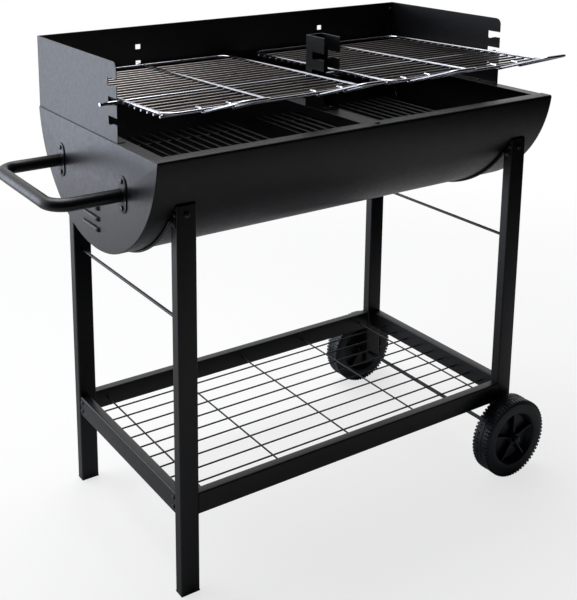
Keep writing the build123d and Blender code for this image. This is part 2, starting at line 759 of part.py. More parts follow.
# ---------------------------------------------------------------- origin and output
whole = Compound(children=[Compound(children=list(p.solids())) for p in parts.values()]).bounding_box()
origin_shift = (-(whole.min.X + whole.max.X) / 2, -(whole.min.Y + whole.max.Y) / 2, -whole.min.Z)

os.makedirs("parts", exist_ok=True)
for name, piece in parts.items():
    export_step(Location(origin_shift) * piece, "parts/" + name + ".step")
print("origin shift", [round(v, 3) for v in origin_shift], "nodes", len(parts))
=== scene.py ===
import math
from functools import partial

import bmesh
import bpy
from mathutils import Matrix, Vector


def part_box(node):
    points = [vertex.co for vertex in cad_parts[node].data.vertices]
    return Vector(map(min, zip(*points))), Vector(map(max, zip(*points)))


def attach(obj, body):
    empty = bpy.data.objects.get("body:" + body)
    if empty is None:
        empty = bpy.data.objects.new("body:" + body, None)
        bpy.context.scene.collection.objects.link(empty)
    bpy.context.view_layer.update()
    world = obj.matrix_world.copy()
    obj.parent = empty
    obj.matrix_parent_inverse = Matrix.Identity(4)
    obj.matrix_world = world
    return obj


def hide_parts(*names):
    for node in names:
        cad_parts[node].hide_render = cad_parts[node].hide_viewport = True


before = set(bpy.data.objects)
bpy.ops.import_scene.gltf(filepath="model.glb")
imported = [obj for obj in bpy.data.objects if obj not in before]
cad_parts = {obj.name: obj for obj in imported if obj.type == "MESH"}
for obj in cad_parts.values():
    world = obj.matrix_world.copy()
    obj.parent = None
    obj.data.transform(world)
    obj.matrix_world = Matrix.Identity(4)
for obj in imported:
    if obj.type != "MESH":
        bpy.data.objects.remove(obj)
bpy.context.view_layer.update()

# ---------------------------------------------------------------- datum
# Every piece below is drawn in millimetres about the middle of the barrel, with z = 0 on
# the floor, as on a workshop drawing.  The shell's own box says where that middle is.
MILLIMETRE = 0.001
shell_low, shell_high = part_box("barrel_shell")
datum = Vector(((shell_low.x + shell_high.x) / 2, (shell_low.y + shell_high.y) / 2, 0.0))
drawing_to_frame = Matrix.Translation(datum) @ Matrix.Scale(MILLIMETRE, 4)
rim_z = shell_high.z / MILLIMETRE
half_depth = (shell_high.y - shell_low.y) / 2 / MILLIMETRE
shell_half = (shell_high.x - shell_low.x) / 2 / MILLIMETRE
barrel_drop = (shell_high.z - shell_low.z) / MILLIMETRE
arc_radius = (half_depth ** 2 + barrel_drop ** 2) / (2 * barrel_drop)
arc_centre_z = rim_z + arc_radius - barrel_drop


# ---------------------------------------------------------------- studio
# A white studio floor that fades into a white room, lit by one softbox low at the back
# left and one overhead.  The room is bright behind the cart and dim on the cook's side.
FLOOR_WHITE = "#ffffff"
FLOOR_GLOW = 0.72
ROOM_BRIGHT = "#ffffff"
ROOM_DIM = "#0c0f16"


def linear(code):
    """An sRGB hex colour as the linear values that a shader takes."""
    shares = [int(code[place:place + 2], 16) / 255 for place in (1, 3, 5)]
    return tuple(s / 12.92 if s <= 0.04045 else ((s + 0.055) / 1.055) ** 2.4 for s in shares) + (1.0,)


def add_node(tree, kind, joins=None, **settings):
    """One node, of the geometry family unless named in full, with its inputs set or joined.

    A node given as an input stands for its own first output.
    """
    own_family = kind.startswith(("Shader", "Function", "NodeGroup"))
    made = tree.nodes.new(kind if own_family else "GeometryNode" + kind)
    for name, value in settings.items():
        setattr(made, name, value)
    for name, value in (joins or {}).items():
        for item in value if isinstance(value, list) else [value]:
            if isinstance(item, bpy.types.Node):
                item = item.outputs[0]
            if isinstance(item, bpy.types.NodeSocket):
                tree.links.new(item, made.inputs[name])
            else:
                made.inputs[name].default_value = item
    return made


def as_mesh(made, name):
    """A finished bmesh as a mesh, with the bmesh given back."""
    mesh = bpy.data.meshes.new(name)
    made.to_mesh(mesh)
    made.free()
    return mesh


def evaluated(held):
    """The plain mesh that an object's modifiers give."""
    bpy.context.view_layer.update()
    return bpy.data.meshes.new_from_object(held.evaluated_get(bpy.context.evaluated_depsgraph_get()))


def hold(mesh, name):
    """An object in the scene that holds a mesh."""
    held = bpy.data.objects.new(name, mesh)
    bpy.context.scene.collection.objects.link(held)
    return held


def new_material(name):
    """A material with an empty node tree."""
    made = bpy.data.materials.new(name)
    made.use_nodes = True
    made.node_tree.nodes.clear()
    return made, made.node_tree


room = bpy.data.worlds.new("studio_room")
bpy.context.scene.world = room
room.use_nodes = True
room_tree = room.node_tree
room_tree.nodes.clear()
ray = add_node(room_tree, "ShaderNodeTexCoord")
split = add_node(room_tree, "ShaderNodeSeparateXYZ", {0: ray.outputs["Generated"]})
depth = add_node(room_tree, "ShaderNodeMapRange", {"Value": split.outputs["Y"], "From Min": -0.15,
    "From Max": 0.55},
        interpolation_type="SMOOTHSTEP")
tone = add_node(room_tree, "ShaderNodeMix", {0: depth, 6: linear(ROOM_DIM), 7: linear(ROOM_BRIGHT)},
        data_type="RGBA")
lighting = add_node(room_tree, "ShaderNodeBackground", {"Color": tone.outputs[2], "Strength": 0.95})
backdrop = add_node(room_tree, "ShaderNodeBackground", {"Color": linear(FLOOR_WHITE), "Strength": 1.0})
seen = add_node(room_tree, "ShaderNodeLightPath")
blend = add_node(room_tree, "ShaderNodeMixShader", {0: seen.outputs["Is Camera Ray"], 1: lighting,
        2: backdrop})
add_node(room_tree, "ShaderNodeOutputWorld", {"Surface": blend})

FLOOR_RADIUS = 2.4
disc = bmesh.new()
bmesh.ops.create_circle(disc, cap_ends=True, segments=96, radius=FLOOR_RADIUS)
floor = hold(as_mesh(disc, "studio_floor"), "studio_floor")
floor_paint, paint = new_material("matt_floor_paint")
place = add_node(paint, "ShaderNodeTexCoord")
spread = add_node(paint, "ShaderNodeVectorMath", {0: place.outputs["Object"]}, operation="LENGTH")
fade = add_node(paint, "ShaderNodeMapRange", {"Value": spread.outputs["Value"], "From Min": 0.9,
        "From Max": FLOOR_RADIUS * 0.98}, interpolation_type="SMOOTHSTEP")
path = add_node(paint, "ShaderNodeLightPath")
chalk = add_node(paint, "ShaderNodeBsdfDiffuse", {"Color": (0.93, 0.93, 0.93, 1.0)})
glow = add_node(paint, "ShaderNodeEmission", {"Color": linear(FLOOR_WHITE), "Strength": 1.0})
pale = add_node(paint, "ShaderNodeMixShader", {0: FLOOR_GLOW, 1: chalk, 2: glow})
dull = add_node(paint, "ShaderNodeBsdfDiffuse", {"Color": (0.45, 0.45, 0.46, 1.0)})
lit = add_node(paint, "ShaderNodeMixShader", {0: path.outputs["Is Camera Ray"], 1: dull, 2: pale})
clear = add_node(paint, "ShaderNodeBsdfTransparent")
cover = add_node(paint, "ShaderNodeMixShader", {0: fade, 1: lit, 2: clear})
add_node(paint, "ShaderNodeOutputMaterial", {"Surface": cover})
floor.data.materials.append(floor_paint)


def softbox(name, place, aim, size, watts, tint="#ffffff"):
    """One square studio light that points at a spot."""
    data = bpy.data.lights.new(name, "AREA")
    data.shape = "RECTANGLE"
    data.size = size[0]
    data.size_y = size[1]
    data.energy = watts
    data.color = linear(tint)[:3]
    lamp = bpy.data.objects.new(name, data)
    lamp.location = place
    lamp.rotation_euler = (Vector(aim) - Vector(place)).to_track_quat("-Z", "Y").to_euler()
    bpy.context.scene.collection.objects.link(lamp)


softbox("softbox_left", (-1.75, 1.9, 0.75), (-0.45, 0.0, 0.65), (1.3, 1.5), 20, "#dde8ff")
softbox("softbox_top", (-0.2, 0.7, 2.9), (0.0, 0.0, 0.6), (2.4, 1.8), 58)

# The camera stands at eye height to the left of the cook.
CAMERA_SPOT = Vector((-1126.6, -1511.4, 1199.8))
CAMERA_YAW = math.radians(-31.02)
CAMERA_PITCH = math.radians(-12.49)
CAMERA_ROLL = math.radians(-0.47)
forward = Vector((-math.sin(CAMERA_YAW) * math.cos(CAMERA_PITCH),
        math.cos(CAMERA_YAW) * math.cos(CAMERA_PITCH), math.sin(CAMERA_PITCH)))
level = Vector((math.cos(CAMERA_YAW), math.sin(CAMERA_YAW), 0.0))
upright = level.cross(forward)
across = math.cos(CAMERA_ROLL) * level + math.sin(CAMERA_ROLL) * upright
upward = -math.sin(CAMERA_ROLL) * level + math.cos(CAMERA_ROLL) * upright
camera_data = bpy.data.cameras.new("camera")
camera_data.sensor_width = 36.0
camera_data.sensor_fit = "AUTO"
camera_data.lens = 61.19
camera_data.shift_x = 0.1477
camera_data.shift_y = -0.3407
camera = bpy.data.objects.new("camera", camera_data)
turn = Matrix((across, upward, -forward)).transposed().to_4x4()
camera.matrix_world = Matrix.Translation(drawing_to_frame @ CAMERA_SPOT) @ turn
bpy.context.scene.collection.objects.link(camera)
bpy.context.scene.camera = camera
bpy.context.scene.view_settings.view_transform = "Standard"


# ---------------------------------------------------------------- barrel shell
# A half barrel rolled from 1.2 mm steel sheet, its long edges folded inwards into a flat
# rim.  Satin black stove powder coat over a bead-blasted surface.
SHELL_SHEET = 1.2
RIM_FLANGE = 24.0
RIM_BEND = 2.2
COAT_BLACK = "#08090c"
COAT_LIGHT = "#0f1014"
# Lighter colour painted along the coat's edges as a highlight.
COAT_EDGE_HIGHLIGHT = "#565b64"
COAT_PEEL_MM = 2.2
COAT_CLOUD_MM = 130.0
DUST_MM = 9.0


def per_millimetre(size):
    """Noise scale on metre coordinates that gives features of a size in millimetres."""
    return 1.0 / (size * MILLIMETRE)


def powder_coat(name, dark, light, edge_highlight, rough, peel_depth, highlight_width):
    """Baked polyester powder coat: satin, with orange peel, faint clouding and a painted highlight along
    its edges.
    """
    coat, tree = new_material(name)
    spot = add_node(tree, "ShaderNodeTexCoord").outputs["Object"]
    cloud = add_node(tree, "ShaderNodeTexNoise", {"Vector": spot, "Scale": per_millimetre(COAT_CLOUD_MM),
            "Detail": 3.0})
    tint = add_node(tree, "ShaderNodeMix", {0: cloud.outputs["Fac"], 6: linear(dark), 7: linear(light)},
            data_type="RGBA")
    # Painted highlight: folded and cut edges get a lighter colour, standing in for the bright line their
    # rounding catches from the lights.
    rounded = add_node(tree, "ShaderNodeBevel", {"Radius": highlight_width * MILLIMETRE}, samples=4)
    flat = add_node(tree, "ShaderNodeNewGeometry")
    meet = add_node(tree, "ShaderNodeVectorMath", {0: rounded, 1: flat.outputs["Normal"]},
            operation="DOT_PRODUCT")
    painted_highlight = add_node(tree, "ShaderNodeMapRange", {"Value": meet.outputs["Value"], "From Min": 0.985,
            "From Max": 0.80, "To Max": 0.8})
    body = add_node(tree, "ShaderNodeMix", {0: painted_highlight, 6: tint.outputs[2], 7: linear(edge_highlight)}, data_type="RGBA")
    speck = add_node(tree, "ShaderNodeTexNoise", {"Vector": spot, "Scale": per_millimetre(DUST_MM),
        "Detail": 6.0,
            "Roughness": 0.7})
    gloss = add_node(tree, "ShaderNodeMapRange", {"Value": speck.outputs["Fac"], "From Min": 0.3,
        "From Max": 0.75,
            "To Min": rough - 0.05, "To Max": rough + 0.09})
    peel = add_node(tree, "ShaderNodeTexNoise", {"Vector": spot, "Scale": per_millimetre(COAT_PEEL_MM),
            "Detail": 2.0})
    skin = add_node(tree, "ShaderNodeBump", {"Strength": 0.35, "Distance": peel_depth * MILLIMETRE,
            "Height": peel.outputs["Fac"], "Normal": rounded})
    shader = add_node(tree, "ShaderNodeBsdfPrincipled", {"Base Color": body.outputs[2], "Roughness": gloss,
            "Normal": skin, "IOR": 1.5})
    add_node(tree, "ShaderNodeOutputMaterial", {"Surface": shader})
    return coat


sheet_coat = powder_coat("satin_black_powder_coat", COAT_BLACK, COAT_LIGHT, COAT_EDGE_HIGHLIGHT, 0.36, 0.10, 0.8)


def new_tree(name, sizes, takes_geometry=False):
    """A geometry tree with named sizes, its inputs, and the tools that add to it."""
    tree = bpy.data.node_groups.new(name, "GeometryNodeTree")
    tree.is_modifier = True
    face = tree.interface
    face.new_socket("Geometry", in_out="OUTPUT", socket_type="NodeSocketGeometry")
    if takes_geometry:
        face.new_socket("Geometry", in_out="INPUT", socket_type="NodeSocketGeometry")
    kinds = {int: "NodeSocketInt", float: "NodeSocketFloat", bpy.types.Object: "NodeSocketObject",
            bpy.types.Material: "NodeSocketMaterial"}
    for label, value in sizes.items():
        socket = face.new_socket(label, in_out="INPUT", socket_type=kinds[type(value)])
        socket.default_value = value
    given = tree.nodes.new("NodeGroupInput").outputs
    return tree, given, partial(add_node, tree), partial(calculate, tree), partial(vector, tree)


def finish_tree(tree, geometry, material, marked=None):
    """Closes a tree: instances made real, then its finish, and a second material where marked (on the
    cooking grids, the cross wires' darker copy of the chrome, painted shade).
    """
    real = add_node(tree, "RealizeInstances", {0: geometry})
    dressed = add_node(tree, "SetMaterial", {0: real, "Material": material})
    if marked:
        mark = add_node(tree, "InputNamedAttribute", {"Name": "second_finish"}, data_type="BOOLEAN")
        dressed = add_node(tree, "SetMaterial", {0: dressed, "Selection": mark, "Material": marked})
    add_node(tree, "NodeGroupOutput", {0: dressed})


def calculate(tree, operation, first, second=0.0):
    """One sum inside a tree."""
    return add_node(tree, "ShaderNodeMath", {0: first, 1: second}, operation=operation).outputs[0]


def vector(tree, x=0.0, y=0.0, z=0.0):
    """Three numbers as one vector inside a tree."""
    return add_node(tree, "ShaderNodeCombineXYZ", {0: x, 1: y, 2: z}).outputs[0]


def grow(tree, sizes, source=None):
    """Runs a tree with these sizes over a source mesh and hands back the plain mesh."""
    holder = hold(source or bpy.data.meshes.new(tree.name), tree.name)
    work = holder.modifiers.new(tree.name, "NODES")
    work.node_group = tree
    for item in tree.interface.items_tree:
        if item.item_type == "SOCKET" and item.in_out == "INPUT" and item.name in sizes:
            work[item.identifier] = sizes[item.name]
    mesh = evaluated(holder)
    holder.modifiers.remove(work)
    bpy.data.objects.remove(holder)
    return mesh


def settle(name, meshes, body, stands_for, material=None, sharp=35.0):
    """Joins meshes drawn in millimetres into one piece, in metres, on its body."""
    joined = bmesh.new()
    finishes = []
    for mesh in meshes:
        own = list(mesh.materials) or [material]
        first = len(joined.faces)
        joined.from_mesh(mesh)
        joined.faces.ensure_lookup_table()
        for finish in own:
            if finish not in finishes:
                finishes.append(finish)
        for face in joined.faces[first:]:
            face.material_index = finishes.index(own[min(face.material_index, len(own) - 1)])
    bmesh.ops.remove_doubles(joined, verts=joined.verts, dist=0.0005)
    bmesh.ops.recalc_face_normals(joined, faces=joined.faces)
    bmesh.ops.transform(joined, matrix=drawing_to_frame, verts=joined.verts)
    for face in joined.faces:
        face.smooth = True
    final = as_mesh(joined, name)
    for finish in finishes:
        final.materials.append(finish)
    final.set_sharp_from_angle(angle=math.radians(sharp))
    piece = hold(final, name)
    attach(piece, body)
    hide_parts(*stands_for)
    return piece


rolled, given, node, calc, vec = new_tree("rolled_sheet", {
    "Arc radius": 229.0, "Arc centre height": 797.0, "Half angle": 1.4, "Rim height": 773.0,
    "Rim inner": 204.0,
    "Bend radius": 2.0, "Length": 800.0, "Sheet": 1.2, "Arc points": 120})
count = calc("ADD", given["Arc points"], 2.0)
line = node("MeshLine", {"Count": count})
number = node("InputIndex")
steps = calc("SUBTRACT", given["Arc points"], 1.0)
share = calc("DIVIDE", calc("SUBTRACT", number, 1.0), steps)
signed = calc("SUBTRACT", calc("MULTIPLY", share, 2.0), 1.0)
angle = calc("MULTIPLY", signed, given["Half angle"])
arc_y = calc("MULTIPLY", calc("SINE", angle), given["Arc radius"])
arc_drop = calc("MULTIPLY", calc("COSINE", angle), given["Arc radius"])
arc_z = calc("SUBTRACT", given["Arc centre height"], arc_drop)
on_flange = calc("GREATER_THAN", calc("ABSOLUTE", signed), 1.001)
flange_y = calc("MULTIPLY", calc("SIGN", signed), given["Rim inner"])
sheet_y = node("ShaderNodeMix", {0: on_flange, 2: arc_y, 3: flange_y})
sheet_z = node("ShaderNodeMix", {0: on_flange, 2: arc_z, 3: given["Rim height"]})
sheet_x = calc("MULTIPLY", given["Length"], -0.5)
bent = node("SetPosition", {0: line, "Position": vec(sheet_x, sheet_y, sheet_z)})
outline = node("MeshToCurve", {0: bent})
at_rim = calc("COMPARE", calc("ABSOLUTE", signed), 1.0)
at_rim.node.inputs[2].default_value = 0.0001
rim_bend = calc("MULTIPLY", at_rim, given["Bend radius"])
folded = node("FilletCurve", {0: outline, "Count": 5, "Radius": rim_bend, "Limit Radius": True},
    mode="POLY")
edge_line = node("CurveToMesh", {0: folded})
tidy_line = node("MergeByDistance", {0: edge_line, "Distance": 0.01})
drawn_out = node("ExtrudeMesh", {0: tidy_line, "Offset": vec(given["Length"]),
        "Offset Scale": 1.0}, mode="EDGES")
thick = node("ExtrudeMesh", {0: drawn_out, "Offset Scale": given["Sheet"], "Individual": False},
    mode="FACES")
skin_back = node("FlipFaces", {0: drawn_out})
shell_solid = node("JoinGeometry", {0: [thick, skin_back]})
closed = node("MergeByDistance", {0: shell_solid, "Distance": 0.001})
finish_tree(rolled, closed, sheet_coat)

shell_mesh = grow(rolled, {"Arc radius": arc_radius, "Arc centre height": arc_centre_z,
    "Half angle": math.asin(half_depth / arc_radius), "Rim height": rim_z,
    "Rim inner": half_depth - RIM_FLANGE, "Bend radius": RIM_BEND, "Length": 2 * shell_half,
    "Sheet": -SHELL_SHEET, "Arc points": 140})
settle("rolled_barrel_shell", [shell_mesh], "cart", ["barrel_shell"])


# ---------------------------------------------------------------- barrel ends
# Two D-shaped plates of the same sheet, their straight edge folded in to finish the rim.
# The push handle's end has three pressed louvres that let air in under the coals.
END_SHEET = 1.2
LOUVRE_PITCH = 19.0
LOUVRE_TOP_Z = 648.0
LOUVRE_HALF = 32.0
LOUVRE_HEIGHT = 8.0
LOUVRE_PROUD = 4.8
LOUVRE_MIDDLE_Y = 11.0
LOUVRE_END = 9.0
LOUVRE_SHOULDER = 0.35
PANEL_EDGE = 4.0
PANEL_STEP = 1.0


def arc_edge(radius, steps, top):
    """Points (y, z) along the barrel's section from one end of a level line to the other."""
    reach = math.acos((arc_centre_z - top) / radius)
    return [(radius * math.sin(a), arc_centre_z - radius * math.cos(a))
            for a in (reach * (2 * step / steps - 1) for step in range(steps + 1))]


def louvre_depth(y, z):
    """How far the pressed louvres stand out of the plate at a point."""
    along = abs(y - LOUVRE_MIDDLE_Y)
    if along >= LOUVRE_HALF:
        return 0.0
    end = min(1.0, (LOUVRE_HALF - along) / LOUVRE_END)
    sweep = math.sqrt(1 - (1 - end) ** 2)
    for index in range(3):
        fall = (LOUVRE_TOP_Z - index * LOUVRE_PITCH - z) / LOUVRE_HEIGHT
        if 0 < fall <= 1.0:
            return LOUVRE_PROUD * sweep * math.sqrt(1 - (1 - min(1.0, fall / LOUVRE_SHOULDER)) ** 2)
    return 0.0


def end_plate(side, louvred):
    """D-shaped plate with its folded rim, as one sheet that is then given its thickness."""
    sheet = bmesh.new()
    outer = side * (shell_half + END_SHEET)
    top = rim_z - RIM_BEND
    border = [sheet.verts.new((outer, y, z)) for y, z in arc_edge(arc_radius, 96, top)]
    edges = [sheet.edges.new(pair) for pair in zip(border, border[1:] + border[:1])]
    if louvred:
        low_y = LOUVRE_MIDDLE_Y - LOUVRE_HALF - PANEL_EDGE
        low_z = LOUVRE_TOP_Z - 2 * LOUVRE_PITCH - LOUVRE_HEIGHT - PANEL_EDGE
        wide = round(2 * (LOUVRE_HALF + PANEL_EDGE) / PANEL_STEP)
        tall = round((LOUVRE_TOP_Z + PANEL_EDGE - low_z) / PANEL_STEP)
        grid = [[sheet.verts.new((
            outer + side * louvre_depth(low_y + i * PANEL_STEP, low_z + j * PANEL_STEP),
                low_y + i * PANEL_STEP, low_z + j * PANEL_STEP))
                for i in range(wide + 1)] for j in range(tall + 1)]
        for j in range(tall):
            for i in range(wide):
                corners = (grid[j][i], grid[j][i + 1], grid[j + 1][i + 1], grid[j + 1][i])
                drop = max(v.co.x for v in corners) - min(v.co.x for v in corners)
                if drop < 2.6 or grid[j][i].co.x * side > grid[j + 1][i].co.x * side:
                    sheet.faces.new(corners)
        ring = grid[0][:-1] + [row[-1] for row in grid[:-1]]
        ring += grid[-1][:0:-1] + [row[0] for row in grid[:0:-1]]
        for pair in zip(ring, ring[1:] + ring[:1]):
            edges.append(sheet.edges.get(pair) or sheet.edges.new(pair))
    bmesh.ops.triangle_fill(sheet, edges=edges, use_beauty=True)
    # The fold: a quarter bend along the straight edge, then the flange between the corners.
    steps = 6
    ends = (border[0].co.y, border[-1].co.y)
    inner = half_depth - RIM_FLANGE
    last = None
    for step in range(steps + 1):
        a = math.pi / 2 * step / steps
        x = outer - side * RIM_BEND * (1 - math.cos(a))
        z = top + RIM_BEND * math.sin(a)
        row = [sheet.verts.new((x, y, z)) for y in ends]
        if last:
            sheet.faces.new((last[0], last[1], row[1], row[0]))
        last = row
    lip = [(outer - side * RIM_BEND, -inner), (outer - side * RIM_BEND, inner),
           (outer - side * RIM_FLANGE, inner), (outer - side * RIM_FLANGE, -inner)]
    sheet.faces.new([sheet.verts.new((x, y, rim_z)) for x, y in lip])
    bmesh.ops.remove_doubles(sheet, verts=sheet.verts, dist=0.01)
    for face in sheet.faces:
        if face.normal.x * side < -0.5 or face.normal.z < -0.5:
            face.normal_flip()
    holder = hold(as_mesh(sheet, "end_plate"), "end_plate")
    wall = holder.modifiers.new("sheet", "SOLIDIFY")
    wall.thickness = END_SHEET * 0.98
    wall.offset = -1.0
    solid = evaluated(holder)
    bpy.data.objects.remove(holder)
    return solid


settle("pressed_left_end", [end_plate(-1, True)], "cart", ["left_end_plate"], sheet_coat)
settle("pressed_right_end", [end_plate(1, False)], "cart", ["right_end_plate"], sheet_coat)


# ---------------------------------------------------------------- windshield, channel, bracket
# Flat laser-cut plates with folded feet, the pressed channel across the rim and the notched
# bracket that stands on it.  Their shapes are plain folds, so the drawn parts stay as they are.
for flat in ("windshield_back", "windshield_left", "windshield_right", "grid_bracket", "centre_channel"):
    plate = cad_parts[flat].data
    plate.materials.clear()
    plate.materials.append(sheet_coat)


# ---------------------------------------------------------------- bars and bent rods
# One tree makes every round bar: a route of straight runs gets its bends, then its section.
def bar_tree(name, material):
    """Round bar along the source mesh's route, in one finish."""
    sizes = {"Bend radius": 10.0, "Bar radius": 2.5, "Sides": 16, "Bend steps": 8}
    tree, inputs, node, calc, vec = new_tree(name, sizes, True)
    route = node("MeshToCurve", {0: inputs["Geometry"]})
    eased = node("FilletCurve", {0: route, "Count": inputs["Bend steps"],
            "Radius": inputs["Bend radius"], "Limit Radius": True}, mode="POLY")
    section = node("CurvePrimitiveCircle", {"Resolution": inputs["Sides"], "Radius": inputs["Bar radius"]})
    bar = node("CurveToMesh", {0: eased, 1: section, "Fill Caps": True})
    finish_tree(tree, bar, material)
    return tree


def route_mesh(*routes):
    """Open runs of points, one for each bar, as edges for a tree to follow."""
    mesh = bpy.data.meshes.new("route")
    points = [tuple(point) for route in routes for point in route]
    pairs = []
    start = 0
    for route in routes:
        pairs += [(start + i, start + i + 1) for i in range(len(route) - 1)]
        start += len(route)
    mesh.from_pydata(points, pairs, [])
    return mesh


# ---------------------------------------------------------------- cooking grids
# Each grid is a bent wire frame with a centre bar, cross wires resistance-welded under it
# and a thicker peg rod for the notches, all bright chrome plated after welding.
CHROME_LIGHT = "#e2e3e8"
CHROME_DEEP = "#b9bac6"
# Colours of a darker, warmer copy of the chrome for the cross wires: painted shade and a painted dull
# reflection.
SHADED_CHROME_LIGHT = "#a9a19c"
SHADED_CHROME_DEEP = "#827c7b"
GRID_TILT = math.radians(1.55)
PEG_Y = -66.0
PEG_Z = rim_z + 61.0
GRID_X = 221.0
GRID = {"Half width": 189.0, "Front": -155.0, "Rear": 270.0, "Corner": 24.0, "Frame wire": 2.5, "Wire": 2.0,
        "Pitch": 20.5, "Wires before peg": 7, "Wires behind peg": 12, "Wire overhang": 4.0, "Peg wire": 3.0,
        "Tongue": 32.0, "Frame height": 5.1, "Wire height": 1.0, "Weld": 2.3, "Seed": 3}
PEG_ENDS = (224.0, 212.0)
LOOP_PLACES = (98.0, 317.5)
LOOP_HALF = 27.5
LOOP_REACH = 112.0
LOOP_TAIL = ((20.0, 6.0), (8.0, 5.8), (3.0, 0.28))
LOOP_RISE = math.radians(17.5)
LOOP_BEND = 14.0
LOOP_SEAT = 5.1 - 4.6 / math.cos(LOOP_RISE)


def metal_plate(name, light, deep, rough):
    """Electroplated metal, chrome, nickel or zinc: reflective, with faint plating haze."""
    plate, tree = new_material(name)
    spot = add_node(tree, "ShaderNodeTexCoord").outputs["Object"]
    haze = add_node(tree, "ShaderNodeTexNoise", {"Vector": spot, "Scale": per_millimetre(16.0),
        "Detail": 4.0})
    tint = add_node(tree, "ShaderNodeMix", {0: haze.outputs["Fac"], 6: linear(deep), 7: linear(light)},
            data_type="RGBA")
    gloss = add_node(tree, "ShaderNodeMapRange", {"Value": haze.outputs["Fac"], "To Min": rough,
            "To Max": rough + 0.12})
    ripple = add_node(tree, "ShaderNodeTexNoise", {"Vector": spot, "Scale": per_millimetre(5.0),
        "Detail": 2.0})
    skin = add_node(tree, "ShaderNodeBump", {"Strength": 0.3, "Distance": 0.0001,
            "Height": ripple.outputs["Fac"]})
    shader = add_node(tree, "ShaderNodeBsdfPrincipled", {"Base Color": tint.outputs[2], "Metallic": 1.0,
            "Roughness": gloss, "Normal": skin})
    add_node(tree, "ShaderNodeOutputMaterial", {"Surface": shader})
    return plate


chrome = metal_plate("bright_chrome_wire", CHROME_LIGHT, CHROME_DEEP, 0.10)
# The cross wires get a darker, warmer, rougher copy of the same chrome, as painted shade and reflection,
# not a second plating.
shaded_chrome = metal_plate("warm_nickel_wire", SHADED_CHROME_LIGHT, SHADED_CHROME_DEEP, 0.24)
welded, given, node, calc, vec = new_tree("welded_cooking_grid", GRID)
frame_run = node("CurvePrimitiveQuadrilateral", {"Width": calc("MULTIPLY", given["Half width"], 2.0),
    "Height": calc("SUBTRACT", given["Rear"], given["Front"])}, mode="RECTANGLE")
frame_bent = node("FilletCurve", {0: frame_run, "Count": 7, "Radius": given["Corner"]}, mode="POLY")
frame_middle = calc("MULTIPLY", calc("ADD", given["Rear"], given["Front"]), 0.5)
frame_set = node("Transform", {0: frame_bent, "Translation": vec(0.0, frame_middle, given["Frame height"])})
tongue_end = calc("ADD", given["Rear"], given["Tongue"])
centre_bar = node("CurvePrimitiveLine", {"Start": vec(0.0, given["Front"], given["Frame height"]),
    "End": vec(0.0, tongue_end, given["Frame height"])}, mode="POINTS")
thick_round = node("CurvePrimitiveCircle", {"Resolution": 14, "Radius": given["Frame wire"]})
frame_both = node("JoinGeometry", {0: [frame_set, centre_bar]})
frame_wire = node("CurveToMesh", {0: frame_both, 1: thick_round, "Fill Caps": True})
wire_count = calc("ADD", calc("ADD", given["Wires before peg"], given["Wires behind peg"]), 1.0)
first_wire = calc("MULTIPLY", calc("MULTIPLY", given["Wires before peg"], -1.0), given["Pitch"])
rungs = node("MeshLine", {"Count": wire_count, "Start Location": vec(0.0, first_wire, given["Wire height"]),
    "Offset": vec(0.0, given["Pitch"], 0.0)})
rung_number = node("InputIndex")
not_peg = calc("ABSOLUTE", calc("SUBTRACT", rung_number, given["Wires before peg"]))
plain_rung = calc("GREATER_THAN", not_peg, 0.5)
wire_half = calc("ADD", given["Half width"], given["Wire overhang"])
wire_line = node("CurvePrimitiveLine", {"Start": vec(calc("MULTIPLY", wire_half, -1.0)),
    "End": vec(wire_half)}, mode="POINTS")
thin_round = node("CurvePrimitiveCircle", {"Resolution": 10, "Radius": given["Wire"]})
bare_wire = node("CurveToMesh", {0: wire_line, 1: thin_round, "Fill Caps": True})
# Marks the cross wires for the darker copy of the chrome, their painted shade.
wire = node("StoreNamedAttribute", {0: bare_wire, "Name": "second_finish",
        "Value": True}, data_type="BOOLEAN", domain="FACE")
# Welding pulls each wire a hair out of true.
skew = node("FunctionNodeRandomValue", {0: (0.0, -0.0006, -0.0012), 1: (0.0, 0.0006, 0.0012),
        "Seed": given["Seed"]}, data_type="FLOAT_VECTOR")
wires = node("InstanceOnPoints", {0: rungs, "Selection": plain_rung, "Instance": wire, "Rotation": skew})
nugget = node("MeshIcoSphere", {"Radius": given["Weld"], "Subdivisions": 2})
flat_nugget = node("Transform", {0: nugget, "Scale": (1.15, 1.0, 0.55)})
weld_rows = []
for across_share in (-1.0, 0.0, 1.0):
    shifted = node("Transform", {0: rungs, "Translation": vec(calc("MULTIPLY", given["Half width"],
        across_share), 0.0, 1.9)})
    row = node("InstanceOnPoints", {0: shifted, "Instance": flat_nugget})
    weld_rows.append(row)
whole = node("JoinGeometry", {0: [frame_wire, wires, *weld_rows]})
finish_tree(welded, whole, chrome, shaded_chrome)
chrome_bar = bar_tree("bent_chrome_wire", chrome)


def loop_route(x):
    """Route of one loop handle: over the first wire, out under the front bar and back."""
    run = [(x - LOOP_HALF, GRID["Front"] + y, z) for y, z in LOOP_TAIL]
    tip_y = GRID["Front"] - LOOP_REACH * math.cos(LOOP_RISE)
    tip_z = LOOP_SEAT + LOOP_REACH * math.sin(LOOP_RISE)
    run += [(x - LOOP_HALF, tip_y, tip_z), (x + LOOP_HALF, tip_y, tip_z)]
    return run + [(x + LOOP_HALF, GRID["Front"] + y, z) for y, z in reversed(LOOP_TAIL)]


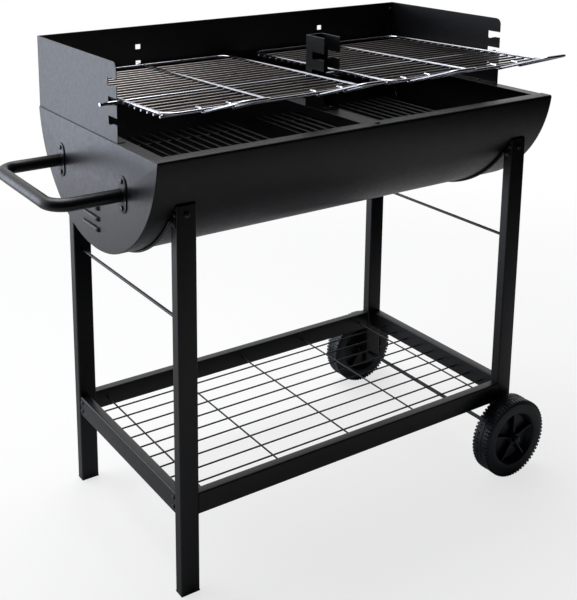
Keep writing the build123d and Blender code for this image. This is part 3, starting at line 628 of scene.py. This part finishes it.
for side, name in ((-1, "left"), (1, "right")):
    rest = Matrix.Translation((side * GRID_X, PEG_Y, PEG_Z)) @ Matrix.Rotation(-GRID_TILT, 4, "X")
    grille = grow(welded, {**GRID, "Seed": 3 + side})
    peg = grow(chrome_bar, {"Bar radius": GRID["Peg wire"]},
            route_mesh([(side * PEG_ENDS[0], 0, 0), (-side * PEG_ENDS[1], 0, 0)]))
    loops = grow(chrome_bar, {"Bend radius": LOOP_BEND, "Bar radius": 2.5, "Sides": 14},
            route_mesh(*[loop_route(side * (reach - GRID_X)) for reach in LOOP_PLACES]))
    for part in (grille, peg, loops):
        part.transform(rest)
    settle(name + "_chrome_cooking_grid", [grille, peg, loops], name + "_cooking_grid",
           [name + "_grid_frame", name + "_grid_wires", name + "_grid_loops"])


# ---------------------------------------------------------------- charcoal grates
# Round bars across the barrel, welded over four cross bars, with their ends resting on the
# curved wall.  Mild steel under thin, rough stove paint.
GRATE_BLACK = "#060607"
GRATE_GREY = "#0b0b0c"
# Lighter colour painted along the bars' edges as a highlight.
GRATE_EDGE_HIGHLIGHT = "#141416"
grate_coat = powder_coat("rough_black_stove_paint", GRATE_BLACK, GRATE_GREY, GRATE_EDGE_HIGHLIGHT, 0.55, 0.12, 0.5)
GRATE_X = 213.0
GRATE_Z = rim_z - 80.0
GRATE = {"Bars": 17, "Pitch": 22.0, "Half length": 200.9, "Radius": 2.5, "Cross bars": 4,
    "Cross pitch": 100.0,
        "Cross half": 181.0, "Cross height": -4.6, "Finish": grate_coat}

grille_tree, given, node, calc, vec = new_tree("welded_bar_grille", GRATE)
bar_round = node("CurvePrimitiveCircle", {"Resolution": 10, "Radius": given["Radius"]})


def grille_row(bars, pitch, half, height, along_y):
    """One set of equal bars side by side, centred, running along y or along x."""
    back = calc("MULTIPLY", half, -1.0)
    ends = (vec(0.0, back), vec(0.0, half)) if along_y else (vec(back), vec(half))
    line = node("CurvePrimitiveLine", {"Start": ends[0], "End": ends[1]}, mode="POINTS")
    bar = node("CurveToMesh", {0: line, 1: bar_round, "Fill Caps": True})
    span = calc("MULTIPLY", calc("SUBTRACT", bars, 1.0), pitch)
    first = calc("MULTIPLY", span, -0.5)
    start = vec(first, 0.0, height) if along_y else vec(0.0, first, height)
    step = vec(pitch) if along_y else vec(0.0, pitch)
    spots = node("MeshLine", {"Count": bars, "Start Location": start, "Offset": step})
    return node("InstanceOnPoints", {0: spots, "Instance": bar})


grille_rows = [grille_row(given["Bars"], given["Pitch"], given["Half length"], 0.0, True),
        grille_row(given["Cross bars"], given["Cross pitch"], given["Cross half"], given["Cross height"],
        False)]
grille_all = node("JoinGeometry", {0: grille_rows})
finish_tree(grille_tree, grille_all, given["Finish"])

for side, name in ((-1, "left"), (1, "right")):
    grate = grow(grille_tree, GRATE)
    grate.transform(Matrix.Translation((side * GRATE_X, 0.0, GRATE_Z)))
    settle(name + "_bar_grate", [grate], name + "_charcoal_grate",
        [name + "_charcoal_grate"])


# ---------------------------------------------------------------- legs
# Four lengths of rectangular steel tube, 36 by 20.5 mm, saddle-cut to nest under the barrel
# and through-bolted to it.  The left pair stand on moulded plugs, the right pair on the axle.
LEG_X = (351.0, 387.0)
LEG_Y = (188.5, 209.0)
LEG_CORNER = 2.6
LEG_WALL = 1.2
LEG_RISE = 25.5
SADDLE_GAP = 0.2
LEG_BOTTOM = {-1: 2.5, 1: 59.5}
PLUG_FLANGE = 2.5
SPARE_HOLE_RADIUS = 2.2
SPARE_HOLE_Z = 667.0
saddle_z = arc_centre_z - math.sqrt(arc_radius ** 2 - LEG_Y[0] ** 2)
leg_top = saddle_z + LEG_RISE


def rounded_ring(u0, u1, v0, v1, corner, gap):
    """Points round a rectangle with rounded corners, a small gap apart along its v sides."""
    points = []
    for u, v, start in ((u1, v1, 0), (u0, v1, 90), (u0, v0, 180), (u1, v0, 270)):
        cu = u - math.copysign(corner, u - (u0 + u1) / 2)
        cv = v - math.copysign(corner, v - (v0 + v1) / 2)
        points += [(cu + corner * math.cos(math.radians(start + 18 * i)),
                cv + corner * math.sin(math.radians(start + 18 * i))) for i in range(6)]
        if start in (90, 270):
            reach = (v1 - v0) - 2 * corner
            count = max(1, round(reach / gap))
            turn = -1 if start == 90 else 1
            points += [(u, cv + turn * reach * i / count) for i in range(1, count)]
    return points


def tube(rings, low, high, turn=None):
    """Tube between two rings of points along w, its ends at a height or cut to a rule."""
    made = bmesh.new()
    top = high if callable(high) else lambda u, v: high
    rows = [[made.verts.new((u, v, low if end == 0 else top(u, v))) for u, v in ring]
            for ring in rings for end in (0, 1)]
    size = len(rows[0])
    for a, b in ((0, 1), (3, 2), (1, 3), (2, 0)):
        for i in range(size):
            j = (i + 1) % size
            made.faces.new((rows[a][i], rows[a][j], rows[b][j], rows[b][i]))
    mesh = as_mesh(made, "tube")
    if turn:
        mesh.transform(turn)
    return mesh


def solid_block(low, high, bevel):
    """Block between two corners with eased edges."""
    made = bmesh.new()
    bmesh.ops.create_cube(made, size=1.0)
    for vert in made.verts:
        vert.co = Vector((a + (c + 0.5) * (b - a) for a, b, c in zip(low, high, vert.co)))
    bmesh.ops.bevel(made, geom=list(made.edges), offset=bevel, segments=2, affect="EDGES", profile=0.6)
    return as_mesh(made, "block")


def lathe(profile, steps, at=(0.0, 0.0, 0.0)):
    """Turned shape about an axis along y, from points (radius, y) in order."""
    made = bmesh.new()
    rings = []
    for radius, y in profile:
        if radius < 1e-6:
            rings.append([made.verts.new((at[0], at[1] + y, at[2]))])
        else:
            rings.append([made.verts.new((at[0] + radius * math.cos(2 * math.pi * i / steps), at[1] + y,
                    at[2] + radius * math.sin(2 * math.pi * i / steps)))
                    for i in range(steps)])
    for low, high in zip(rings, rings[1:]):
        for i in range(steps):
            j = (i + 1) % steps
            corners = [low[i % len(low)], low[j % len(low)], high[j % len(high)], high[i % len(high)]]
            corners = list(dict.fromkeys(corners))
            if len(corners) > 2:
                made.faces.new(corners)
    return as_mesh(made, "turned")


def carve(mesh, cutters):
    """Takes cutters away from a mesh."""
    body = hold(mesh, "body")
    tools = []
    for cutter in cutters:
        tool = hold(cutter, "cutter")
        cut = body.modifiers.new("cut", "BOOLEAN")
        cut.operation = "DIFFERENCE"
        cut.object = tool
        tools.append(tool)
    result = evaluated(body)
    for item in [body, *tools]:
        bpy.data.objects.remove(item)
    return result


def drill(x, y, z, radius):
    """Short cutter along y through one wall of a leg."""
    return lathe([(0.0, -4.0), (radius, -4.0), (radius, 4.0), (0.0, 4.0)], 20, (x, y, z))


def saddle_cut(u, v):
    """Height of a leg's top, where it meets the barrel."""
    return min(leg_top, arc_centre_z - math.sqrt((arc_radius + SADDLE_GAP) ** 2 - v ** 2))


leg_middle = sum(LEG_X) / 2
for end, end_name in ((-1, "left"), (1, "right")):
    for row, row_name in ((-1, "front"), (1, "rear")):
        us = sorted((end * LEG_X[0], end * LEG_X[1]))
        vs = sorted((row * LEG_Y[0], row * LEG_Y[1]))
        outer_ring = rounded_ring(*us, *vs, LEG_CORNER, 1.0)
        inner_ring = rounded_ring(us[0] + LEG_WALL, us[1] - LEG_WALL, vs[0] + LEG_WALL, vs[1] - LEG_WALL,
                LEG_CORNER - LEG_WALL, 1.0)
        leg = tube((outer_ring, inner_ring), LEG_BOTTOM[end], saddle_cut)
        leg = carve(leg, [drill(end * leg_middle, row * LEG_Y[1], SPARE_HOLE_Z, SPARE_HOLE_RADIUS)])
        settle(row_name + "_" + end_name + "_tube_leg", [leg], "cart",
               [row_name + "_" + end_name + "_leg"], sheet_coat)


# ---------------------------------------------------------------- moulded plastic
# Plugs pressed into the open ends of the legs, and push-on caps over the ends of the axle.
# Black polypropylene straight from the mould.
PLASTIC_BLACK = "#0d1015"
PLASTIC_SHEEN = "#1c232d"
PLUG_GAP = 0.15
PLUG_DEPTH = 14.0


def moulded_plastic(name, dark, light, rough):
    """Moulded polypropylene: fine spark-eroded grain with a soft satin skin."""
    made, tree = new_material(name)
    spot = add_node(tree, "ShaderNodeTexCoord").outputs["Object"]
    cloud = add_node(tree, "ShaderNodeTexNoise", {"Vector": spot, "Scale": per_millimetre(24.0),
        "Detail": 4.0})
    tint = add_node(tree, "ShaderNodeMix", {0: cloud.outputs["Fac"], 6: linear(dark), 7: linear(light)},
            data_type="RGBA")
    gloss = add_node(tree, "ShaderNodeMapRange", {"Value": cloud.outputs["Fac"], "To Min": rough,
            "To Max": rough + 0.14})
    grain = add_node(tree, "ShaderNodeTexNoise", {"Vector": spot, "Scale": per_millimetre(0.8),
        "Detail": 2.0})
    soft = add_node(tree, "ShaderNodeBevel", {"Radius": 0.5 * MILLIMETRE}, samples=4)
    skin = add_node(tree, "ShaderNodeBump", {"Strength": 0.3, "Distance": 0.00006,
        "Height": grain.outputs["Fac"],
            "Normal": soft})
    shader = add_node(tree, "ShaderNodeBsdfPrincipled", {"Base Color": tint.outputs[2], "Roughness": gloss,
            "Normal": skin, "IOR": 1.49})
    add_node(tree, "ShaderNodeOutputMaterial", {"Surface": shader})
    return made


plastic = moulded_plastic("black_moulded_polypropylene", PLASTIC_BLACK, PLASTIC_SHEEN, 0.34)
for end, cad_node in ((-1, "foot_plugs"), (1, "wheel_leg_plugs")):
    bottom = LEG_BOTTOM[end] - PLUG_FLANGE
    plugs = []
    for row in (-1, 1):
        us = sorted((end * LEG_X[0], end * LEG_X[1]))
        vs = sorted((row * LEG_Y[0], row * LEG_Y[1]))
        plugs.append(solid_block((us[0], vs[0], bottom), (us[1], vs[1], bottom + PLUG_FLANGE), 0.6))
        inset = LEG_WALL + PLUG_GAP
        plugs.append(solid_block((us[0] + inset, vs[0] + inset, bottom + 1.0),
                (us[1] - inset, vs[1] - inset, bottom + PLUG_DEPTH), 1.2))
    settle("moulded_" + cad_node, plugs, "cart", [cad_node], plastic)


# ---------------------------------------------------------------- cradle rods and tie rods
# Bent steel rods that cradle the barrel between the legs, flattened and bolted at their
# ends, and a straight tie rod welded between each pair of legs.  Same black coat.
CRADLE_RADIUS = arc_radius + 3.5
CRADLE_ROD = 2.5
CRADLE_Y = 199.0
CRADLE_TAB = 7.0
CRADLE_Z = saddle_z - 2.5
TIE_Z = 490.0
coated_bar = bar_tree("bent_coated_rod", sheet_coat)
cradle_faces = {"left": -LEG_X[1], "right": LEG_X[0]}
for name, face_x in cradle_faces.items():
    x = face_x - CRADLE_ROD
    open_angle = math.asin((CRADLE_Y - CRADLE_TAB) / CRADLE_RADIUS)
    run = [(x, CRADLE_RADIUS * math.sin(a), arc_centre_z - CRADLE_RADIUS * math.cos(a))
           for a in (open_angle * (2 * i / 72 - 1) for i in range(73))]
    rod = grow(coated_bar, {"Bend radius": 0.0, "Bar radius": CRADLE_ROD, "Sides": 12, "Bend steps": 1},
            route_mesh(run))
    tabs = [solid_block((x, min(s * (CRADLE_Y - CRADLE_TAB), s * (CRADLE_Y + CRADLE_TAB)),
        CRADLE_Z - CRADLE_TAB),
            (face_x, max(s * (CRADLE_Y - CRADLE_TAB), s * (CRADLE_Y + CRADLE_TAB)),
            CRADLE_Z + CRADLE_TAB), 0.7) for s in (-1, 1)]
    settle(name + "_bent_cradle_rod", [rod, *tabs], "cart", [name + "_cradle_rod"],
        sheet_coat)
    middle = -leg_middle if name == "left" else leg_middle
    tie = grow(coated_bar, {"Bend radius": 0.0, "Bar radius": 3.0, "Sides": 14, "Bend steps": 1},
            route_mesh([(middle, -LEG_Y[0], TIE_Z), (middle, LEG_Y[0], TIE_Z)]))
    settle(name + "_welded_tie_rod", [tie], "cart", [name + "_tie_rod"])


# ---------------------------------------------------------------- shelf
# Four rectangular tube rails between the legs and a welded wire mesh inside them, coated
# together.  The end rails are screwed to the legs and the long ones butt against them.
SHELF_TOP = 185.0
RAIL_HEIGHT = 39.0
RAIL_DEPTH = 18.0
RAIL_CORNER = 2.4
RAIL_WALL = 1.2
RAIL_INSET = 2.0
# The third colour is painted along the shelf wires' edges as a highlight.
shelf_coat = powder_coat("gloss_black_wire_coat", "#050506", "#0a0a0b", "#141416", 0.42, 0.06, 0.4)
MESH = {"Bars": 5, "Pitch": 162.0, "Half length": 191.0, "Radius": 1.6, "Cross bars": 9,
    "Cross pitch": 37.5,
        "Cross half": 367.0, "Cross height": -2.8, "Finish": shelf_coat}
MESH_Z = 164.8
along_x = Matrix(((0, 0, 1, 0), (1, 0, 0, 0), (0, 1, 0, 0), (0, 0, 0, 1)))
along_y = Matrix(((1, 0, 0, 0), (0, 0, 1, 0), (0, 1, 0, 0), (0, 0, 0, 1)))


def rail(u0, u1, half, turn):
    """Rectangular tube between two depths, as long either way from the middle."""
    low = SHELF_TOP - RAIL_HEIGHT
    rings = (rounded_ring(u0, u1, low, SHELF_TOP, RAIL_CORNER, 40.0),
            rounded_ring(u0 + RAIL_WALL, u1 - RAIL_WALL, low + RAIL_WALL, SHELF_TOP - RAIL_WALL,
            RAIL_CORNER - RAIL_WALL, 40.0))
    return tube(rings, -half, half, turn)


for name, side in (("front", -1), ("rear", 1)):
    us = sorted((side * LEG_Y[1], side * (LEG_Y[1] - RAIL_DEPTH)))
    settle(name + "_tube_rail", [rail(*us, LEG_X[0], along_x)], "cart",
           [name + "_shelf_rail"], sheet_coat)
for name, side in (("left", -1), ("right", 1)):
    outer = side * (LEG_X[1] - RAIL_INSET)
    us = sorted((outer, outer - side * RAIL_DEPTH))
    settle(name + "_tube_rail", [rail(*us, LEG_Y[0], along_y)], "cart",
           [name + "_shelf_rail"], sheet_coat)
shelf = grow(grille_tree, MESH)
shelf.transform(Matrix.Translation((0.0, 0.0, MESH_Z)))
settle("welded_wire_shelf", [shelf], "cart", ["shelf_mesh"])


# ---------------------------------------------------------------- wheels
# Each wheel is one moulding of black polypropylene: a lugged tread, a thin web with five
# ribs on either face, and a full-width hub that turns on the plain steel axle.
AXLE_X = 360.5
AXLE_Z = 81.0
WHEEL_Y = 233.75
WHEEL_PROFILE = ((4.15, 18.6), (10.5, 18.6), (11.5, 17.6), (13.5, 6.5), (46.0, 5.25), (52.5, 16.0),
    (54.5, 18.4),
        (56.0, 19.0), (71.0, 19.0), (74.4, 18.4), (77.6, 16.6), (78.9, 14.5))
TREAD = {"Shoulder lugs": 66, "Shoulder row": 12.6, "Lug length": 9.6, "Lug width": 4.6, "Lug height": 4.2,
        "Fine teeth": 96, "Fine row": 5.6, "Tooth width": 2.2, "Tread radius": 78.7, "Rib width": 3.0,
        "Finish": plastic}
RIB_COUNT = 5
RIB_THICK = 4.2
RIB_REACH = (9.0, 51.5)
RIB_FACE = 15.5

tread, given, node, calc, vec = new_tree("lugged_tread", TREAD)


def lug_ring(count, y, radial_turn, size):
    """Equal blocks round the wheel at one depth, the first turned by a share of the pitch."""
    ring = node("MeshCircle", {"Vertices": count, "Radius": given["Tread radius"]})
    pitch = calc("DIVIDE", 2 * math.pi, count)
    standing = node("Transform", {0: ring, "Translation": vec(0.0, 0.0, y),
        "Rotation": vec(0.0, 0.0, calc("MULTIPLY", pitch, radial_turn))})
    block = node("MeshCube", {"Size": size})
    outward = node("FunctionNodeAlignRotationToVector", {
        "Vector": node("ShaderNodeVectorMath", {0: node("InputPosition"),
            1: (1.0, 1.0, 0.0)}, operation="MULTIPLY")}, axis="X", pivot_axis="Z")
    return node("InstanceOnPoints", {0: standing, "Instance": block, "Rotation": outward})


lug_size = vec(given["Lug height"], given["Lug width"], given["Lug length"])
tooth_size = vec(3.2, given["Tooth width"], 4.4)
lug_rows = [lug_ring(given["Shoulder lugs"], given["Shoulder row"], 0.0, lug_size),
    lug_ring(given["Shoulder lugs"], calc("MULTIPLY", given["Shoulder row"], -1.0), 0.5, lug_size),
    lug_ring(given["Fine teeth"], given["Fine row"], 0.0, tooth_size),
    lug_ring(given["Fine teeth"], calc("MULTIPLY", given["Fine row"], -1.0), 0.5, tooth_size)]
centre_ring = node("MeshCylinder", {
    "Vertices": 96, "Radius": calc("ADD", given["Tread radius"], 1.6), "Depth": given["Rib width"]})
tread_all = node("JoinGeometry", {0: [*lug_rows, centre_ring]})
upright_tread = node("Transform", {0: tread_all, "Rotation": (math.pi / 2, 0.0, 0.0)})
finish_tree(tread, upright_tread, given["Finish"])

for side, name in ((-1, "front"), (1, "rear")):
    place = Vector((AXLE_X, side * WHEEL_Y, AXLE_Z))
    half = list(WHEEL_PROFILE)
    rim = lathe(half + [(r, -y) for r, y in reversed(half)] + [half[0]], 96)
    lugs = grow(tread, TREAD)
    ribs = []
    for index in range(RIB_COUNT):
        for face in (-1, 1):
            rib = solid_block((RIB_REACH[0], min(face * 5.0, face * RIB_FACE), -RIB_THICK / 2),
                    (RIB_REACH[1], max(face * 5.0, face * RIB_FACE), RIB_THICK / 2), 1.1)
            rib.transform(Matrix.Rotation(math.radians(-90 - index * 360 / RIB_COUNT), 4, "Y"))
            ribs.append(rib)
    for part in (rim, lugs, *ribs):
        part.transform(Matrix.Translation(place))
    settle(name + "_lugged_wheel", [rim, lugs, *ribs], name + "_wheel", [name + "_wheel"],
           plastic)


# ---------------------------------------------------------------- axle
# A plain 8 mm dark zinc-plated rod through both right legs, with spacer rings between legs
# and wheels and a domed plastic cap pushed on each end.
ZINC_LIGHT = "#3c3d43"
ZINC_DEEP = "#26272c"
AXLE_RADIUS = 4.0
AXLE_HALF = 255.0
SPACER = (209.0, 214.2)
CAP = (253.3, 260.3)
zinc = metal_plate("blackened_zinc_plate", ZINC_LIGHT, ZINC_DEEP, 0.26)
axle_rod = lathe([(0.0, -AXLE_HALF), (3.3, -AXLE_HALF), (AXLE_RADIUS, -AXLE_HALF + 0.7),
        (AXLE_RADIUS, AXLE_HALF - 0.7), (3.3, AXLE_HALF), (0.0, AXLE_HALF)], 28, (AXLE_X, 0.0, AXLE_Z))
settle("zinc_axle_rod", [axle_rod], "cart", ["axle"], zinc)
rings = []
caps = []
for side in (-1, 1):
    rings.append(lathe([(4.1, side * SPACER[0]), (9.6, side * SPACER[0]), (10.0, side * (SPACER[0] + 0.4)),
            (10.0, side * (SPACER[1] - 0.4)), (9.6, side * SPACER[1]), (4.1, side * SPACER[1]),
            (4.1, side * SPACER[0])], 36, (AXLE_X, 0.0, AXLE_Z)))
    dome = [(8.0 * math.cos(a), side * (CAP[0] + 4.0 + 3.0 * math.sin(a)))
            for a in (math.pi / 2 * i / 7 for i in range(8))]
    caps.append(lathe([(4.1, side * CAP[0]), (7.7, side * CAP[0]), (8.0, side * (CAP[0] + 0.4)), *dome[:-1],
            (0.0, side * CAP[1]), (0.0, side * (AXLE_HALF + 0.1)), (4.1, side * (AXLE_HALF + 0.1)),
            (4.1, side * CAP[0])], 36, (AXLE_X, 0.0, AXLE_Z)))
settle("zinc_spacer_rings", rings, "cart", ["axle_spacers"], zinc)
settle("domed_axle_caps", caps, "cart", ["axle_caps"], plastic)


# ---------------------------------------------------------------- push handle
# A bent steel tube, 22 mm across, MIG-welded to an oval flange at each end; the flanges are
# screwed through the end plate.  Coated black after welding.
PUSH_RADIUS = 11.0
PUSH_BEND = 34.0
PUSH_BAR_X = -551.0
PUSH_YS = (-111.0, 131.0)
PUSH_Z = 693.0
FLANGE_X = (-432.0, -430.0)
FLANGE_HALF = 31.5
FLANGE_RADIUS = 14.0
BEAD_RADIUS = 1.7


def oval_flange(y):
    """Oval plate with rounded edges, standing against the barrel's end."""
    straight = FLANGE_HALF - FLANGE_RADIUS
    outline = [(math.cos(a) * FLANGE_RADIUS,
            math.sin(a) * FLANGE_RADIUS + (straight if math.sin(a) >= 0 else -straight))
            for a in (2 * math.pi * (i + 0.5) / 48 for i in range(48))]
    ease = 0.5
    rows = ((FLANGE_X[1], 1.0), (FLANGE_X[0] + ease, 1.0), (FLANGE_X[0], 1.0 - ease / FLANGE_RADIUS))
    made = bmesh.new()
    loops = [[made.verts.new((x, y + u * share, PUSH_Z + v * share)) for u, v in outline]
        for x, share in rows]
    for low, high in zip(loops, loops[1:]):
        for i in range(48):
            j = (i + 1) % 48
            made.faces.new((low[i], low[j], high[j], high[i]))
    made.faces.new(loops[0])
    made.faces.new(list(reversed(loops[-1])))
    return as_mesh(made, "flange")


def weld_bead(y):
    """Rippled fillet of weld round the tube where it meets its flange."""
    turns = 72
    sides = 8
    made = bmesh.new()
    rings = []
    for i in range(turns):
        a = 2 * math.pi * i / turns
        thick = BEAD_RADIUS * (1.0 + 0.13 * math.cos(18 * a))
        rings.append([made.verts.new((FLANGE_X[0] + thick * math.cos(b) * 0.9,
                y + (PUSH_RADIUS + thick * math.sin(b)) * math.cos(a),
                PUSH_Z + (PUSH_RADIUS + thick * math.sin(b)) * math.sin(a)))
                for b in (2 * math.pi * k / sides for k in range(sides))])
    for i in range(turns):
        for k in range(sides):
            m = (k + 1) % sides
            made.faces.new((rings[i][k], rings[i][m], rings[(i + 1) % turns][m], rings[(i + 1) % turns][k]))
    return as_mesh(made, "bead")


handle = grow(coated_bar, {"Bend radius": PUSH_BEND, "Bar radius": PUSH_RADIUS, "Sides": 36,
    "Bend steps": 16},
        route_mesh([(FLANGE_X[0], PUSH_YS[0], PUSH_Z), (PUSH_BAR_X, PUSH_YS[0], PUSH_Z),
        (PUSH_BAR_X, PUSH_YS[1], PUSH_Z), (FLANGE_X[0], PUSH_YS[1], PUSH_Z)]))
settle("bent_push_handle", [handle, *[weld_bead(y) for y in PUSH_YS]], "cart",
       ["push_handle_tube"], sheet_coat)
for name, y in zip(("front", "rear"), PUSH_YS):
    settle(name + "_oval_flange", [oval_flange(y)], "cart", [name + "_handle_flange"],
        sheet_coat)


# ---------------------------------------------------------------- fasteners
# Pan-head machine screws with cross recesses and plain hexagon nuts, in dark zinc.  One
# head is made once and set on every screw's place, turned to face the way it is driven.
DARK_ZINC_LIGHT = "#6a6b70"
DARK_ZINC_DEEP = "#46474c"
HEAD_HEIGHT = 0.57
RECESS = (0.62, 0.17, 0.30)
dark_zinc = metal_plate("dark_zinc_plate", DARK_ZINC_LIGHT, DARK_ZINC_DEEP, 0.30)


def pan_head():
    """Pan head of radius 1, its seat at the origin and standing along +Z, with its recess."""
    shape = [(0.0, 0.0), (0.96, 0.0), (1.0, 0.06)]
    shape += [(1.0 - 0.22 * (1 - math.cos(a)), 0.20 + (HEAD_HEIGHT - 0.24) * math.sin(a))
            for a in (math.pi / 2 * i / 5 for i in range(6))]
    shape += [(0.45, HEAD_HEIGHT - 0.01), (0.0, HEAD_HEIGHT)]
    head = lathe(shape, 28)
    head.transform(Matrix.Rotation(math.pi / 2, 4, "X"))
    long, wide, deep = RECESS
    arms = [solid_block((-a, -b, HEAD_HEIGHT - deep), (a, b, HEAD_HEIGHT + 0.2), 0.04)
            for a, b in ((long, wide / 2), (wide / 2, long))]
    return carve(head, arms)


screws, given, node, calc, vec = new_tree("set_screws", {"Head": hold(pan_head(), "pan_head"), "Turn": 0.4},
    True)
heading = node("InputNamedAttribute", {"Name": "direction"}, data_type="FLOAT_VECTOR")
head_size = node("InputNamedAttribute", {"Name": "head"}, data_type="FLOAT")
shank_size = node("InputNamedAttribute", {"Name": "shank"}, data_type="FLOAT")
grip_size = node("InputNamedAttribute", {"Name": "grip"}, data_type="FLOAT")
driven = node("FunctionNodeAlignRotationToVector", {"Vector": heading}, axis="Z")
number = node("InputIndex")
random_turn = calc("MULTIPLY", number, given["Turn"])
spin = node("FunctionNodeAxisAngleToRotation", {"Axis": (0.0, 0.0, 1.0), "Angle": random_turn})
turned = node("FunctionNodeRotateRotation", {0: driven, 1: spin}, rotation_space="LOCAL")
head_info = node("ObjectInfo", {"Object": given["Head"], "As Instance": True})
heads = node("InstanceOnPoints", {
    0: given["Geometry"], "Instance": head_info.outputs["Geometry"], "Rotation": turned,
    "Scale": vec(head_size, head_size, head_size)})
pin = node("MeshCylinder", {"Vertices": 16, "Radius": 1.0, "Depth": 1.0})
pin_down = node("Transform", {0: pin, "Translation": (0.0, 0.0, -0.5)})
pins = node("InstanceOnPoints", {0: given["Geometry"], "Instance": pin_down, "Rotation": driven,
    "Scale": vec(shank_size, shank_size, grip_size)})
screw_all = node("JoinGeometry", {0: [heads, pins]})
finish_tree(screws, screw_all, dark_zinc)


def set_screws(cad_node, places, head, shank, grip):
    """All the screws of one kind: places are (seat point, outward direction)."""
    mesh = bpy.data.meshes.new(cad_node)
    mesh.from_pydata([seat for seat, way in places], [], [])
    facing = mesh.attributes.new("direction", "FLOAT_VECTOR", "POINT")
    facing.data.foreach_set("vector", [v for seat, way in places for v in way])
    for name, value in (("head", head), ("shank", shank), ("grip", grip)):
        mesh.attributes.new(name, "FLOAT", "POINT").data.foreach_set("value", [value] * len(places))
    settle("set_" + cad_node, [grow(screws, {}, mesh)], "cart", [cad_node], dark_zinc)


RIM_SEAT = rim_z + 1.2
BARREL_BOLT_RISE = 10.0
LEG_SCREW_Y = 202.0
LEG_SCREW_RISE = 11.0
SHIELD_BOLT_X = 420.4
SHIELD_BACK_Y = 220.4
M5 = 2.5
up = (0.0, 0.0, 1.0)
set_screws("barrel_bolts", [((e * leg_middle, r * LEG_Y[1], saddle_z + BARREL_BOLT_RISE), (0.0, r, 0.0))
        for e in (-1, 1) for r in (-1, 1)], 5.2, 3.0, 26.0)
set_screws("cradle_bolts", [((x - CRADLE_ROD, r * CRADLE_Y, CRADLE_Z), (-1.0, 0.0, 0.0))
        for x in cradle_faces.values() for r in (-1, 1)], 4.5, M5, 8.0)
set_screws("leg_screws", [((x, r * LEG_SCREW_Y, saddle_z + LEG_SCREW_RISE), (-1.0, 0.0, 0.0))
        for x in cradle_faces.values() for r in (-1, 1)], 4.2, M5, 6.0)
set_screws("handle_screws", [((FLANGE_X[0], y, PUSH_Z + s * 23.0), (-1.0, 0.0, 0.0))
        for y in PUSH_YS for s in (-1, 1)], 4.5, M5, 9.0)
shield = [((s * SHIELD_BOLT_X, y, RIM_SEAT), up) for s in (-1, 1) for y in (-49.0, 150.0)]
shield += [((x, SHIELD_BACK_Y, RIM_SEAT), up) for x in (-250.0, 250.0)]
shield += [((s * SHIELD_BOLT_X, half_depth - 2.4, z), (0.0, -1.0, 0.0)) for s in (-1, 1)
        for z in (rim_z + 27.0, rim_z + 116.0)]
set_screws("windshield_bolts", shield, 4.5, M5, 8.5)
set_screws("bracket_bolts", [((x, -86.0, RIM_SEAT + 1.5), up) for x in (-8.0, 8.0)], 4.5, M5, 9.0)
set_screws("channel_screws", [((6.0, s * 216.0, RIM_SEAT), up) for s in (-1, 1)], 4.5, M5, 8.0)
set_screws("rail_screws", [((e * 385.0, r * 181.5, z), (float(e), 0.0, 0.0))
        for e in (-1, 1) for r in (-1, 1) for z in (174.0, 157.0)], 3.8, M5, 6.0)
bpy.data.objects.remove(bpy.data.objects["pan_head"])
for cad_node in ("barrel_nuts", "handle_nuts", "windshield_nuts", "bracket_nuts"):
    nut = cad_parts[cad_node].data
    nut.materials.clear()
    nut.materials.append(dark_zinc)
